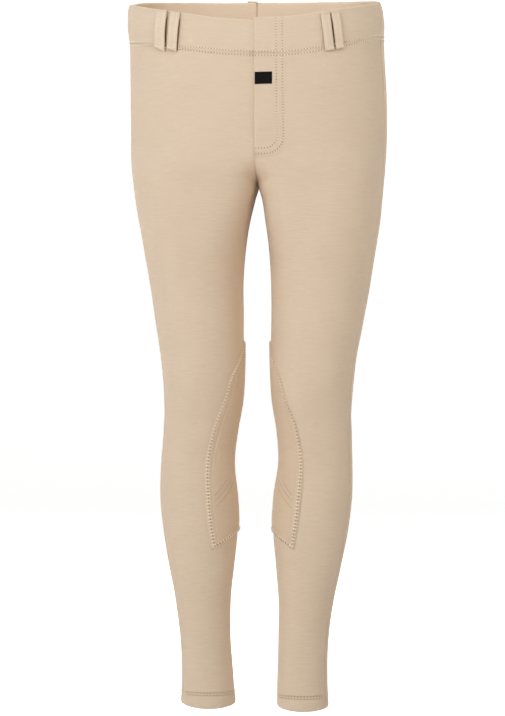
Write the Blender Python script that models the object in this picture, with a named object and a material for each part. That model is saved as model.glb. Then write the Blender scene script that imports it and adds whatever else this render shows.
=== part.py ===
"""Child's riding breeches of stretch knit, filled out as if worn, with nothing inside.

The cloth is built as a maker cuts it: front and back panels that meet at the centre, side and inside leg
seams, a double waistband, a lapped fly, knee patches, belt loops and a woven label. The wearer's left is +X
and the front is -Y. The origin is in the middle of the waist. Sizes are in millimetres and angles in
degrees. One half of the cloth is walked by an angle: 0 at the inside leg, 90 in front, 180 at the side, 270
behind and 360 at the inside leg again. Above the crotch, the walk starts and ends at the centre seams.
"""

from collections import namedtuple

import bmesh
import bpy
import numpy as np

MM = 0.001
RIGHT, LEFT = -1, 1  # the wearer's sides, as signs of X

# Cloth
WALL = 1.6  # knit
HEM_WALL = 2.8  # knit turned up double
PATCH_WALL = 1.3
STRAP_WALL = 1.7  # belt loop
LABEL_WALL = 0.7
HALF_GAP = 0.15  # two pieces meet at a seam 0.3 apart
LAY_GAP = 0.45  # under a piece that lies on the body
PATCH_GAP = 0.75  # under a knee patch, where the cloth bends both ways
NORMAL_TURN, NORMAL_RISE = 0.6, 1.0  # steps from a point that give the way out of the cloth

# Seams
CROTCH = -197.0
FRONT_CURVE = 58.0  # height over which the front centre seam turns under
BACK_CURVE = 108.0
SIDE_SEAM_UPRIGHT_FROM = -62.0
BACK_SEAM_SWAY = 8.0  # centre back seam at the waist, towards the wearer's right
SWAY_FOOT = -120.0  # the seam is straight below this height
BODY_ROUND, LEG_ROUND = 0.86, 0.96  # power of the sine and cosine: 1 is an ellipse, less is squarer
LEG_ROUND_FROM = -300.0
CROTCH_ROUND = 0.5  # the same power at the crotch, in front of the inside leg, where the cloth turns in
CROTCH_ROUND_REACH = 110.0  # it grows to the other one over this height below the crotch
# Angle of the side seam by height, in front of the middle of the depth
SeamRow = namedtuple("SeamRow", "height angle")
SIDE_SEAM = (
    SeamRow(-800, 155),
    SeamRow(-700, 156),
    SeamRow(-545, 160),
    SeamRow(-300, 162.5),
    SeamRow(-120, 168),
    SeamRow(-62, 166.5),
)

# Outline at each height: how far the outside and the inside of each leg are from the centre, and the
# front, the back and the middle of the depth.
Section = namedtuple("Section", "height right left in_right in_left front back middle")
SECTIONS = (
    Section(-800, 89.2, 78.6, 24.6, 20.4, -32, 33, 2),
    Section(-750, 87.2, 76.4, 29.3, 20, -30, 31, 1),
    Section(-705, 88.7, 77.4, 32.8, 21, -31, 31, 1),
    Section(-660, 94.4, 83.5, 32.4, 21.5, -35, 34, 0),
    Section(-620, 101.7, 92, 28, 18.8, -40, 40, 0),
    Section(-582, 108, 99.1, 24.8, 15.7, -43, 45, 0),
    Section(-545, 111.3, 103.8, 26.2, 17.5, -43.6, 49, 0),
    Section(-505, 110.4, 104.8, 29.6, 22.9, -44.2, 46.5, -2),
    Section(-470, 107.3, 103.8, 25.1, 21.2, -46.6, 42, -5),
    Section(-440, 106.6, 103.8, 19.9, 16.4, -51.8, 41.5, -6),
    Section(-395, 109.6, 108.1, 17.4, 13.9, -58.2, 45, -5),
    Section(-350, 116, 116.6, 17.8, 13.7, -61.5, 51, -2),
    Section(-300, 124, 125.5, 18, 12.8, -65, 61, 0),
    Section(-260, 131.2, 131.8, 14.5, 10.2, -70, 70, 1),
    Section(-235, 135.5, 135.6, 10.1, 7.2, -73, 76.5, 2),
    Section(-213, 139, 137.6, 3.7, 3.8, -76, 83, 2),
    Section(-197, 140.9, 138.9, 0, 0, -78.6, 88, 2),
    Section(-180, 143, 140.4, 0, 0, -81.5, 93, 2),
    Section(-120, 144.2, 143.1, 0, 0, -87.5, 99, 2),
    Section(-56, 145, 140.2, 0, 0, -87, 92, 1),
    Section(-14, 146, 137.2, 0, 0, -84.5, 86, 0),
    Section(4, 145, 134.4, 0, 0, -83.4, 84, 0),
    Section(22, 137.5, 126.5, 0, 0, -82, 82, 0),
)

# Waistband: height of its folded rim and of its lower seam, by the turn from the centre front (0) over the
# side (90) to the centre back (180).
WaistRow = namedtuple("WaistRow", "turn rim_right rim_left seam_right seam_left")
WAIST = (
    WaistRow(0, -20.6, -18, -57.4, -57.7),
    WaistRow(12, -18.3, -16.6, -54.8, -56.8),
    WaistRow(25, -12.6, -12.3, -50.9, -52.4),
    WaistRow(45, -5.8, -5.6, -45.3, -44.2),
    WaistRow(70, 2.6, 2.2, -40.2, -35),
    WaistRow(90, 6.8, 8.4, -38.6, -33),
    WaistRow(112, 13.2, 13.4, -34.4, -31),
    WaistRow(135, 16.4, 15.9, -31, -29),
    WaistRow(180, 18.3, 18.3, -24, -24),
)
# Its profile from the lower seam over the rim and down inside: share of its height, and lift off the panels.
BandRow = namedtuple("BandRow", "share lift")
BAND_PROFILE = (
    BandRow(0, 0.9),
    BandRow(0.1, 1.6),
    BandRow(0.5, 2.2),
    BandRow(0.86, 1.9),
    BandRow(0.96, 1.2),
    BandRow(1, 0.3),
    BandRow(0.97, -0.7),
    BandRow(0.88, -1.0),
    BandRow(0, -1.0),
)
BAND_OUTSIDE = BAND_PROFILE[:5]
LAP_PROUD = 1.2  # the left front end laps over the right one
LAP_WIDTH = 36.0

# Legs: height of the hem stitching, and of the lower edge at the inside leg, front, side and back.
Hem = namedtuple("Hem", "stitch inside front side back")
HEMS = {RIGHT: Hem(-766, -776.5, -781, -775.5, -774), LEFT: Hem(-769, -779, -783.5, -779.5, -776)}

# The largest folds and hollows: angle and height of the middle, reach along and across, tilt of the long
# way from level, and depth (a ridge is negative).
Fold = namedtuple("Fold", "side angle height reach breadth tilt depth")
FOLDS = (
    Fold(RIGHT, 98, -462, 24, 16, 8, 1.3),
    Fold(LEFT, 100, -464, 24, 16, -6, 1.3),
    Fold(RIGHT, 238, -448, 30, 16, 10, 2.4),
    Fold(LEFT, 236, -450, 30, 16, -9, 2.4),
    Fold(RIGHT, 232, -486, 26, 16, -12, 1.6),
    Fold(LEFT, 230, -489, 26, 16, 13, 1.6),
    Fold(RIGHT, 290, -222, 42, 18, 24, 2.0),
    Fold(LEFT, 292, -224, 42, 18, 24, 2.0),
    Fold(RIGHT, 102, -414, 34, 24, 0, -1.6),
    Fold(LEFT, 100, -416, 32, 24, 0, -1.5),
)
FOLD_RADIUS = 48.0  # turns a fold's angle into a distance round the leg

# Grid of a panel. A power above 1 draws its rows closer together towards the crotch.
PANEL_COLUMNS = 12
BODY_ROWS = 11
LEG_ROWS = 33
BODY_ROWS_CLOSER, LEG_ROWS_CLOSER = 1.7, 1.12
SIDE_AT_CROTCH = -246.0  # height at the side seam of the row that passes the crotch

# Fly flap: from its free edge to the curved stitching
FLY_EDGE = 0.2
FLY_WIDTH = 32.5
FLY_FOOT = -168.5
FLY_CORNER = 17.0
FLY_WALL_EDGE, FLY_WALL_FOOT = 1.4, 0.5
FLY_COLUMNS, FLY_STRAIGHT_ROWS, FLY_CORNER_ROWS = 8, 6, 5
FLY_CORNER_TURN = 78.0

# Knee patches: angle from the inside leg seam to the edge, by height
PatchRow = namedtuple("PatchRow", "height spread")
PATCH = (
    PatchRow(-603, 69),
    PatchRow(-575, 74.5),
    PatchRow(-545, 76),
    PatchRow(-504, 72),
    PatchRow(-457, 63),
    PatchRow(-436, 54),
    PatchRow(-412, 44),
    PatchRow(-390, 24),
    PatchRow(-370, 5),
)
PATCH_TOP, PATCH_FOOT_MIDDLE, PATCH_FOOT_CORNER = -370.0, -583.0, -603.0
PATCH_FOOT_ARCH = 1.3  # power of the arch between its corners
PATCH_COLUMNS, PATCH_ROWS = 14, 20
PATCH_ROWS_CLOSER = 1.45  # rows stand closer together at the pointed top

# Belt loops: turn of the top and of the foot, width, height of the top over the rim, and fall of the foot
# for each millimetre across, towards the wearer's left
Loop = namedtuple("Loop", "name side turn_top turn_foot width above_rim lean")
LOOPS = (
    Loop("loop_right_outer", RIGHT, 41.6, 43.4, 14.0, -0.8, 0.3),
    Loop("loop_right_inner", RIGHT, 33.8, 35.6, 11.8, -0.8, 0.2),
    Loop("loop_left_inner", LEFT, 30.0, 32.1, 10.4, -2.6, 0.0),
    Loop("loop_left_outer", LEFT, 35.7, 38.0, 9.7, -2.8, 0.0),
    Loop("loop_back", RIGHT, 178.5, 178.5, 11.0, 1.5, 0.0),
)
LOOP_PAST_SEAM = 4.2
LOOP_ROWS = 12
LOOP_TURNED = 0.06  # share of its height where an end is turned under, down to the band
# Bow of a belt loop: share of its height from the top, and stand-off of its inner face from the band
BowRow = namedtuple("BowRow", "share stand_off")
LOOP_BOW = (
    BowRow(0, 0.5),
    BowRow(0.08, 1.9),
    BowRow(0.2, 2.8),
    BowRow(0.8, 2.8),
    BowRow(0.92, 2.5),
    BowRow(1, 1.9),
)

# Label on the fly
LABEL_LEFT, LABEL_RIGHT = 0.4, 19.4
LABEL_TOP, LABEL_FOOT = -78.0, -91.4
LABEL_TILT = 0.5  # rise of the edge away from the centre
LABEL_COLUMNS, LABEL_ROWS = 5, 3

# Finish
CLOTH_COLOUR, CLOTH_ROUGHNESS = (0.64, 0.52, 0.38, 1.0), 0.85
LABEL_COLOUR, LABEL_ROUGHNESS = (0.012, 0.012, 0.014, 1.0), 0.6
SHARP_ANGLE = 50.0


def through(rows, values, at):
    """Smooth curve through the rows of a table: cubic between them, with slopes from their neighbours."""
    rows, values = np.asarray(rows, float), np.asarray(values, float)
    slopes = np.gradient(values, rows)
    at = np.clip(np.asarray(at, float), rows[0], rows[-1])
    i = np.clip(np.searchsorted(rows, at) - 1, 0, len(rows) - 2)
    step = rows[i + 1] - rows[i]
    s = (at - rows[i]) / step
    start = (1 + 2 * s) * (1 - s) ** 2 * values[i] + s * (1 - s) ** 2 * step * slopes[i]
    end = s**2 * (3 - 2 * s) * values[i + 1] + s**2 * (s - 1) * step * slopes[i + 1]
    return start + end


def column(table, name):
    return [getattr(row, name) for row in table]


def outline(name, height):
    return through(column(SECTIONS, "height"), column(SECTIONS, name), height)


def ease(share):
    """0 to 1 with a level start and end."""
    share = np.clip(share, 0, 1)
    return share * share * (3 - 2 * share)


def roundness(height):
    return BODY_ROUND + (LEG_ROUND - BODY_ROUND) * ease((CROTCH - height) / (CROTCH - LEG_ROUND_FROM))


def front_roundness(height):
    """Power of the quarter in front of the inside leg: squarer at the crotch."""
    reach = np.where(height < CROTCH, CROTCH_ROUND_REACH, FRONT_CURVE)
    grown = ease(np.abs(height - CROTCH) / reach)
    return CROTCH_ROUND + (roundness(height) - CROTCH_ROUND) * grown


def power(value, exponent):
    return np.sign(value) * np.abs(value) ** exponent


def centre_angle(height, curve):
    """Angle where the walk starts: 90 on the body, 0 at the crotch and below, with a round seam between."""
    share = np.clip((height - CROTCH) / curve, 0, 1)
    return np.degrees(np.arccos((1 - share) ** 2))


def back_sway(height):
    """X of the centre back seam."""
    return -BACK_SEAM_SWAY * ease((height - SWAY_FOOT) / -SWAY_FOOT)


def side_angle(height):
    """Angle of the side seam, upright at the waist."""
    return through(column(SIDE_SEAM, "height"), column(SIDE_SEAM, "angle"), height)


def section_point(side, angle, height):
    """Cloth with neither folds nor lift, one half, at arrays of angles and heights."""
    angle = np.mod(angle, 360)
    behind = angle > 180
    start = np.where(behind, centre_angle(height, BACK_CURVE), centre_angle(height, FRONT_CURVE))
    body_power = roundness(height)
    start_power = np.where(behind, body_power, front_roundness(height))
    power_of = np.where(angle < 90, front_roundness(height), body_power)
    outer = outline("right" if side == RIGHT else "left", height)
    inner = np.where(height < CROTCH, outline("in_right" if side == RIGHT else "in_left", height), 0)
    inner = np.where(behind, inner + side * back_sway(height), inner)
    opened = power(np.cos(np.radians(start)), start_power)
    reach = (outer - inner) / (1 + opened)
    x = inner + reach * opened - reach * power(np.cos(np.radians(angle)), power_of)
    middle = outline("middle", height)
    depth = np.where(behind, outline("back", height) - middle, middle - outline("front", height))
    y = middle - depth * power(np.sin(np.radians(angle)), power_of)
    return np.stack([side * x, y, height + 0 * x], axis=-1)


def folds(side, angle, height):
    """Lift of the cloth by its folds: soft troughs and ridges, long one way and narrow the other."""
    lift = 0 * angle
    for fold in FOLDS:
        if fold.side != side:
            continue
        tilt = np.radians(fold.tilt)
        across = np.radians(angle - fold.angle) * FOLD_RADIUS
        up = height - fold.height
        along = across * np.cos(tilt) + up * np.sin(tilt)
        aside = up * np.cos(tilt) - across * np.sin(tilt)
        lift = lift - fold.depth * np.exp(-((along / fold.reach) ** 2) - (aside / fold.breadth) ** 2)
    return lift


def cloth(side, angle, height, lift=0.0):
    """Points on the outside of the cloth of one half, lifted off it by a distance."""
    angle, height = np.broadcast_arrays(np.asarray(angle, float), np.asarray(height, float))
    ahead, behind = (section_point(side, angle + turn, height) for turn in (NORMAL_TURN, -NORMAL_TURN))
    above, below = (section_point(side, angle, height + rise) for rise in (NORMAL_RISE, -NORMAL_RISE))
    normal = side * np.cross(ahead - behind, above - below)
    normal /= np.linalg.norm(normal, axis=-1, keepdims=True)
    out = folds(side, angle, height) + lift
    return section_point(side, angle, height) + out[..., None] * normal


def waist_height(side, angle, line):
    """Height of the rim or of the band's lower seam at an angle of the walk."""
    name = line + ("_right" if side == RIGHT else "_left")
    return through(column(WAIST, "turn"), column(WAIST, name), angle - 90)


def hem_height(side, angle):
    hem, turn = HEMS[side], np.radians(angle)
    middle = (hem.inside + hem.front + hem.side + hem.back) / 4
    sideways = (hem.inside - hem.side) / 2 * np.cos(turn)
    forward = (hem.front - hem.back) / 2 * np.sin(turn)
    twice = (hem.inside - hem.front + hem.side - hem.back) / 4 * np.cos(2 * turn)
    return middle + sideways + forward + twice


def finish(name, shape, colour, roughness):
    """Object with a material of its own, from a bmesh."""
    mesh = bpy.data.meshes.new(name)
    shape.to_mesh(mesh)
    shape.free()
    mesh.shade_smooth()
    mesh.set_sharp_from_angle(angle=np.radians(SHARP_ANGLE))
    material = bpy.data.materials.new(name)
    material.use_nodes = True
    shader = material.node_tree.nodes["Principled BSDF"]
    shader.inputs["Base Color"].default_value = colour
    shader.inputs["Roughness"].default_value = roughness
    shader.inputs["Metallic"].default_value = 0.0
    material.diffuse_color = colour
    mesh.materials.append(material)
    bpy.context.scene.collection.objects.link(bpy.data.objects.new(name, mesh))


def skin_loops(name, rings):
    """Closed solid through rings of points, with a face over its first and its last ring."""
    shape = bmesh.new()
    made = [[shape.verts.new(point * MM) for point in ring] for ring in rings]
    for ring, after in zip(made, made[1:]):
        for i in range(len(ring)):
            j = (i + 1) % len(ring)
            shape.faces.new((ring[i], ring[j], after[j], after[i]))
    shape.faces.new(made[0][::-1])
    shape.faces.new(made[-1])
    bmesh.ops.recalc_face_normals(shape, faces=shape.faces)
    finish(name, shape, CLOTH_COLOUR, CLOTH_ROUGHNESS)


def sheet(name, outer, inner, colour=CLOTH_COLOUR, roughness=CLOTH_ROUGHNESS):
    """Closed solid between two grids of points, one for each face of the cloth."""
    shape = bmesh.new()
    rows, columns = outer.shape[:2]
    out, back = ([[shape.verts.new(point * MM) for point in row] for row in grid] for grid in (outer, inner))
    for i in range(rows - 1):
        for j in range(columns - 1):
            shape.faces.new((out[i][j], out[i][j + 1], out[i + 1][j + 1], out[i + 1][j]))
            shape.faces.new((back[i][j], back[i + 1][j], back[i + 1][j + 1], back[i][j + 1]))
        for j in (0, columns - 1):
            shape.faces.new((out[i][j], out[i + 1][j], back[i + 1][j], back[i][j]))
    for j in range(columns - 1):
        for i in (0, rows - 1):
            shape.faces.new((out[i][j], out[i][j + 1], back[i][j + 1], back[i][j]))
    bmesh.ops.recalc_face_normals(shape, faces=shape.faces)
    finish(name, shape, colour, roughness)


def clear_of_centre(side, points, front):
    """Keeps a half's points their half of the seam gap off the centre seam."""
    seam = 0 * points[..., 2] if front else back_sway(points[..., 2])
    points[..., 0] = side * np.maximum(side * points[..., 0], side * seam + HALF_GAP)
    return points


def pull_in(points):
    """Draws the first and last column in along the cloth by half the seam gap."""
    for edge, beside in ((0, 1), (-1, -2)):
        way = points[:, beside] - points[:, edge]
        points[:, edge] += HALF_GAP * way / np.linalg.norm(way, axis=-1, keepdims=True)
    return points


def row_heights(side, angle_at, share):
    """Heights of a panel's rows, level on the body and the leg, and drawn up to the crotch at the inside.

    angle_at gives the angle of each column at a height; share is 0 at the centre or inside leg seam and 1
    at the side seam.
    """
    down = np.linspace(0, 1, BODY_ROWS)[:, None]
    seam = waist_height(side, angle_at(SIDE_SEAM_UPRIGHT_FROM, share), "seam") - HALF_GAP
    at_centre = seam + (CROTCH - seam) * (1 - (1 - down) ** BODY_ROWS_CLOSER)
    at_side = seam + (SIDE_AT_CROTCH - seam) * down
    body = at_centre + (at_side - at_centre) * ease(share)
    down = np.linspace(0, 1, LEG_ROWS)[1:, None]
    stitch = HEMS[side].stitch
    hem = hem_height(side, angle_at(stitch, share))
    at_centre = CROTCH + (stitch - CROTCH) * down**LEG_ROWS_CLOSER
    at_side = SIDE_AT_CROTCH + (stitch - SIDE_AT_CROTCH) * down
    leg = at_centre + (at_side - at_centre) * ease(share)
    return np.vstack([body, leg, hem[None]])


def panel(name, side, front):
    share = np.linspace(0, 1, PANEL_COLUMNS + 1)

    def angle_at(height, along):
        if front:
            start = centre_angle(height, FRONT_CURVE)
        else:
            start = 360 - centre_angle(height, BACK_CURVE)
        return start + (side_angle(height) - start) * along

    heights = row_heights(side, angle_at, share)
    angles = angle_at(heights, share)
    wall = np.full(heights.shape, WALL)
    wall[-2:] = HEM_WALL
    outer = clear_of_centre(side, pull_in(cloth(side, angles, heights)), front)
    inner = clear_of_centre(side, pull_in(cloth(side, angles, heights, -wall)), front)
    for row in (0, -1):
        inner[row, :, 2] = outer[row, :, 2]
    sheet(name, outer, inner)


def band_lift(side, angle, height):
    """Extra lift of the lapping left front end, fading away from the fly."""
    if side == RIGHT:
        return 0 * angle
    from_fly = np.abs(section_point(side, angle, height)[..., 0])
    return np.where(angle < 180, LAP_PROUD * ease(1 - from_fly / LAP_WIDTH), 0)


def band_point(side, angle, share, lift):
    """Point of the waistband at a share of its height."""
    seam = waist_height(side, angle, "seam") + HALF_GAP
    height = seam + (waist_height(side, angle, "rim") - seam) * share
    return cloth(side, angle, height, lift + band_lift(side, angle, height) * (lift > 0))


def band(name, side, first, last):
    """One quarter of the waistband, with the columns of the panel below it."""
    angles = np.linspace(first, last, PANEL_COLUMNS + 1)
    profile = [band_point(side, angles, row.share, np.full(angles.shape, row.lift)) for row in BAND_PROFILE]
    rings = pull_in(np.stack(profile))
    skin_loops(name, [rings[:, j] for j in range(PANEL_COLUMNS + 1)])


def waistband():
    for side, word in ((RIGHT, "right"), (LEFT, "left")):
        seam = float(side_angle(SIDE_SEAM_UPRIGHT_FROM))
        band("band_front_" + word, side, 90, seam)
        band("band_back_" + word, side, seam, 270)


def front_angle(x, height):
    """Angle at which the front of the wearer's left half is a distance x from the centre seam."""
    inside = front_roundness(height)
    opened = power(np.cos(np.radians(centre_angle(height, FRONT_CURVE))), inside)
    off = opened - x / outline("left", height) * (1 + opened)
    return np.degrees(np.arccos(power(off, 1 / np.where(off > 0, inside, roundness(height)))))


def on_front(x, height, lift):
    return cloth(LEFT, front_angle(x, height), height, lift)


def fly_flap():
    """Flap over the left front: thick at its free edge, thin where it is stitched down."""
    top = waist_height(LEFT, 90.0, "seam")
    straight = np.linspace(top, FLY_FOOT + FLY_CORNER, FLY_STRAIGHT_ROWS + 1)
    corner = np.radians(np.linspace(0, FLY_CORNER_TURN, FLY_CORNER_ROWS + 1)[1:])
    heights = np.concatenate([straight, FLY_FOOT + FLY_CORNER * (1 - np.sin(corner))])
    widths = np.concatenate([0 * straight + FLY_WIDTH, FLY_WIDTH - FLY_CORNER * (1 - np.cos(corner))])
    share = np.linspace(0, 1, FLY_COLUMNS + 1)
    x = FLY_EDGE + (widths[:, None] - FLY_EDGE) * share
    height = heights[:, None] + 0 * x
    height[0] = waist_height(LEFT, front_angle(x[0], height[0]), "seam") - 2 * HALF_GAP
    sheet("fly_flap", on_front(x, height, fly_lift(x)), on_front(x, height, LAY_GAP))


def fly_lift(x):
    """Lift of the flap's outside at a distance from the centre."""
    share = (x - FLY_EDGE) / (FLY_WIDTH - FLY_EDGE)
    return LAY_GAP + FLY_WALL_EDGE + (FLY_WALL_FOOT - FLY_WALL_EDGE) * ease(share)


def label():
    along = np.linspace(0, 1, LABEL_COLUMNS + 1)
    height = np.linspace(LABEL_TOP, LABEL_FOOT, LABEL_ROWS + 1)[:, None] + LABEL_TILT * along
    x = LABEL_LEFT + (LABEL_RIGHT - LABEL_LEFT) * along + 0 * height
    under = fly_lift(x) + 2 * HALF_GAP
    top = on_front(x, height, under + LABEL_WALL)
    sheet("label", top, on_front(x, height, under), LABEL_COLOUR, LABEL_ROUGHNESS)


def knee_patch(name, side):
    """Patch round the inside of the knee, across both panels, with an arched foot."""
    across = np.linspace(-1, 1, PATCH_COLUMNS + 1)
    down = np.linspace(0, 1, PATCH_ROWS + 1)[:, None] ** PATCH_ROWS_CLOSER
    foot = PATCH_FOOT_MIDDLE + (PATCH_FOOT_CORNER - PATCH_FOOT_MIDDLE) * np.abs(across) ** PATCH_FOOT_ARCH
    heights = PATCH_TOP + (foot - PATCH_TOP) * down
    angles = across * through(column(PATCH, "height"), column(PATCH, "spread"), heights)
    outer = cloth(side, angles, heights, PATCH_GAP + PATCH_WALL)
    sheet(name, outer, cloth(side, angles, heights, PATCH_GAP))


def belt_loop(loop):
    """Strap from the rim to the lower seam, bowed off the band in between."""
    share = np.linspace(0, 1, LOOP_ROWS + 1)
    bow = through(column(LOOP_BOW, "share"), column(LOOP_BOW, "stand_off"), share)
    stand_off = bow + LAY_GAP + STRAP_WALL / 2
    turn = 90 + loop.turn_top + (loop.turn_foot - loop.turn_top) * share
    rim, seam = (waist_height(loop.side, turn, line) for line in ("rim", "seam"))
    top, foot = rim + loop.above_rim, seam - LOOP_PAST_SEAM
    height = top + (foot - top) * share
    band_share = np.clip((height - seam) / (rim - seam), 0, BAND_OUTSIDE[-1].share)
    band_face = np.interp(band_share, column(BAND_OUTSIDE, "share"), column(BAND_OUTSIDE, "lift"))
    surface = band_face + band_lift(loop.side, turn, height)
    middle = cloth(loop.side, turn, height, surface + stand_off)
    outward = middle - cloth(loop.side, turn, height, surface)
    outward[:, 2] = 0
    outward /= np.linalg.norm(outward, axis=1, keepdims=True)
    down = np.gradient(middle, axis=0)
    across = np.cross(outward, down)
    across /= np.linalg.norm(across, axis=1, keepdims=True)
    thick = np.cross(down, across)
    thick *= STRAP_WALL / 2 / np.linalg.norm(thick, axis=1, keepdims=True)
    turned = 1 - ease(np.minimum(share, 1 - share) / LOOP_TURNED)
    under = 1 + (turned * bow)[:, None] / (STRAP_WALL / 2)
    across *= loop.width / 2
    across[:, 2] -= loop.lean * share**2 * loop.width / 2
    inner_face, outer_face = middle - under * thick, middle + thick
    rings = (inner_face - across, inner_face + across, outer_face + across, outer_face - across)
    skin_loops(loop.name, np.stack(rings, axis=1))


def main():
    for old in list(bpy.data.objects):
        bpy.data.objects.remove(old)
    for side, word in ((RIGHT, "right"), (LEFT, "left")):
        panel("front_" + word, side, True)
        panel("back_" + word, side, False)
        knee_patch("knee_patch_" + word, side)
    waistband()
    fly_flap()
    label()
    for loop in LOOPS:
        belt_loop(loop)


main()
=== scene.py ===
"""Looks of the child's riding breeches: knit shells on the solids' own form, their sewing, light and camera.

The wearer's left is +X and the front is -Y. Sizes are in millimetres and angles in degrees, and meshes are
made in metres. One half of the cloth is walked by an angle: 0 at the inside leg, 90 in front, 180 at the
side, 270 behind and 360 at the inside leg again, as in the solids' source.
"""

from collections import namedtuple

import bpy
import numpy as np
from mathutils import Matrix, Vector


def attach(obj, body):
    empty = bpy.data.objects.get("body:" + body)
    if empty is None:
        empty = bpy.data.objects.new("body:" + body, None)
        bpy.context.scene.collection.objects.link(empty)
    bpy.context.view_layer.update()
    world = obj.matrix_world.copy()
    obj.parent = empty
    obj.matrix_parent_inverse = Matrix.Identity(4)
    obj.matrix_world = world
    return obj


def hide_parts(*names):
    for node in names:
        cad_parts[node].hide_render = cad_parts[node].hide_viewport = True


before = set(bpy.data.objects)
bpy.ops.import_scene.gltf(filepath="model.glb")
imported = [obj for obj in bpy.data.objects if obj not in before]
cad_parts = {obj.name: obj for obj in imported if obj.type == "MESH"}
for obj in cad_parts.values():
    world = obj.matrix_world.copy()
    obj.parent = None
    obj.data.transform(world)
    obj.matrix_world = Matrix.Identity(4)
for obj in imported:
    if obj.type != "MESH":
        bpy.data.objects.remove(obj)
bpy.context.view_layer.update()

MM = 0.001
RIGHT, LEFT = -1, 1  # the wearer's sides, as signs of X
WORDS = {RIGHT: "right", LEFT: "left"}


def table(columns, *rows):
    """Rows of values under named columns."""
    row_of = namedtuple("Row", columns)
    return [row_of(*row) for row in rows]


# ---------------------------------------------------------------- form, mostly as in the solids' source
WALL, HEM_WALL, PATCH_WALL, STRAP_WALL, LABEL_WALL = 1.6, 2.8, 1.3, 1.7, 0.7
LAY_GAP, PATCH_GAP = 0.45, 0.75
SEAM_GAP = 0.05  # the shells nearly meet, half of this each
NORMAL_TURN, NORMAL_RISE = 0.6, 1.0  # steps from a point that give the way out of the cloth

CROTCH, FRONT_CURVE, BACK_CURVE = -197.0, 58.0, 108.0
SEAM_START = 0.16  # share of the curve over which the centre seam turns up out of the crotch, only here
SIDE_SEAM_UPRIGHT_FROM = -62.0
BACK_SEAM_SWAY, SWAY_FOOT = 8.0, -120.0
BODY_ROUND, LEG_ROUND, LEG_ROUND_FROM = 0.86, 0.96, -300.0
CROTCH_ROUND, CROTCH_ROUND_REACH = 0.5, 110.0
SIDE_SEAM = table(
    "height angle", (-800, 155), (-700, 156), (-545, 160), (-300, 162.5), (-120, 168), (-62, 166.5)
)
SECTIONS = table(
    "height out_right out_left in_right in_left front back middle",
    (-800, 89.2, 78.6, 24.6, 20.4, -32, 33, 2),
    (-750, 87.2, 76.4, 29.3, 20, -30, 31, 1),
    (-705, 88.7, 77.4, 32.8, 21, -31, 31, 1),
    (-660, 94.4, 83.5, 32.4, 21.5, -35, 34, 0),
    (-620, 101.7, 92, 28, 18.8, -40, 40, 0),
    (-582, 108, 99.1, 24.8, 15.7, -43, 45, 0),
    (-545, 111.3, 103.8, 26.2, 17.5, -43.6, 49, 0),
    (-505, 110.4, 104.8, 29.6, 22.9, -44.2, 46.5, -2),
    (-470, 107.3, 103.8, 25.1, 21.2, -46.6, 42, -5),
    (-440, 106.6, 103.8, 19.9, 16.4, -51.8, 41.5, -6),
    (-395, 109.6, 108.1, 17.4, 13.9, -58.2, 45, -5),
    (-350, 116, 116.6, 17.8, 13.7, -61.5, 51, -2),
    (-300, 124, 125.5, 18, 12.8, -65, 61, 0),
    (-260, 131.2, 131.8, 14.5, 10.2, -70, 70, 1),
    (-235, 135.5, 135.6, 10.1, 7.2, -73, 76.5, 2),
    (-213, 139, 137.6, 4.5, 4.3, -76, 83, 2),
    (-197, 140.9, 138.9, 0, 0, -78.6, 88, 2),
    (-180, 143, 140.4, 0, 0, -81.5, 93, 2),
    (-120, 144.2, 143.1, 0, 0, -87.5, 99, 2),
    (-56, 145, 140.2, 0, 0, -87, 92, 1),
    (-14, 146, 137.2, 0, 0, -84.5, 86, 0),
    (4, 145, 134.4, 0, 0, -83.4, 84, 0),
    (22, 137.5, 126.5, 0, 0, -82, 82, 0),
)
# Waistband's rim and lower seam, by the turn from the centre front (0) over the side (90) to the back (180)
WAIST = table(
    "turn rim_right rim_left seam_right seam_left",
    (0, -20.6, -18, -57.4, -57.7),
    (12, -18.3, -16.6, -54.8, -56.8),
    (25, -12.6, -12.3, -50.9, -52.4),
    (45, -5.8, -5.6, -45.3, -44.2),
    (70, 2.6, 2.2, -40.2, -35),
    (90, 6.8, 8.4, -38.6, -33),
    (112, 13.2, 13.4, -34.4, -31),
    (135, 16.4, 15.9, -31, -29),
    (180, 18.3, 18.3, -24, -24),
)
# Its profile, from under the lower seam up its outside, over the rim and down inside, rounder than a solid's
BAND_PROFILE = table(
    "share lift",
    *((0, -0.9), (0.0005, -0.12), (0.03, 0.12), (0.1, 0.6), (0.3, 1.7), (0.5, 2.2), (0.7, 2.15)),
    *((0.86, 1.9), (0.93, 1.55), (0.972, 1.05), (0.993, 0.55), (1, 0.1), (0.993, -0.4), (0.97, -0.8)),
    *((0.93, -1.0), (0.7, -1.1), (0.3, -1.1), (0.03, -1.2), (0.004, -1.3), (0, -1.1)),
)
BAND_OUTSIDE = BAND_PROFILE[1:12]
BAND_STEPS = 6  # points between two rows of the profile
BAND_COLUMNS = 140
END_ROLL, SEAM_ROLL = 1.1, 1.8  # how the band is rounded at its open ends and into its side seams
LAP_PROUD, LAP_WIDTH = 1.2, 36.0
LAP_START = 89.92  # the left front end goes this far past the centre, as an angle

Hem = namedtuple("Hem", "stitch inside front side back")
HEMS = {RIGHT: Hem(-765, -775.6, -780, -774.6, -773), LEFT: Hem(-768.3, -778.1, -782.5, -778.5, -775)}

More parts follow.
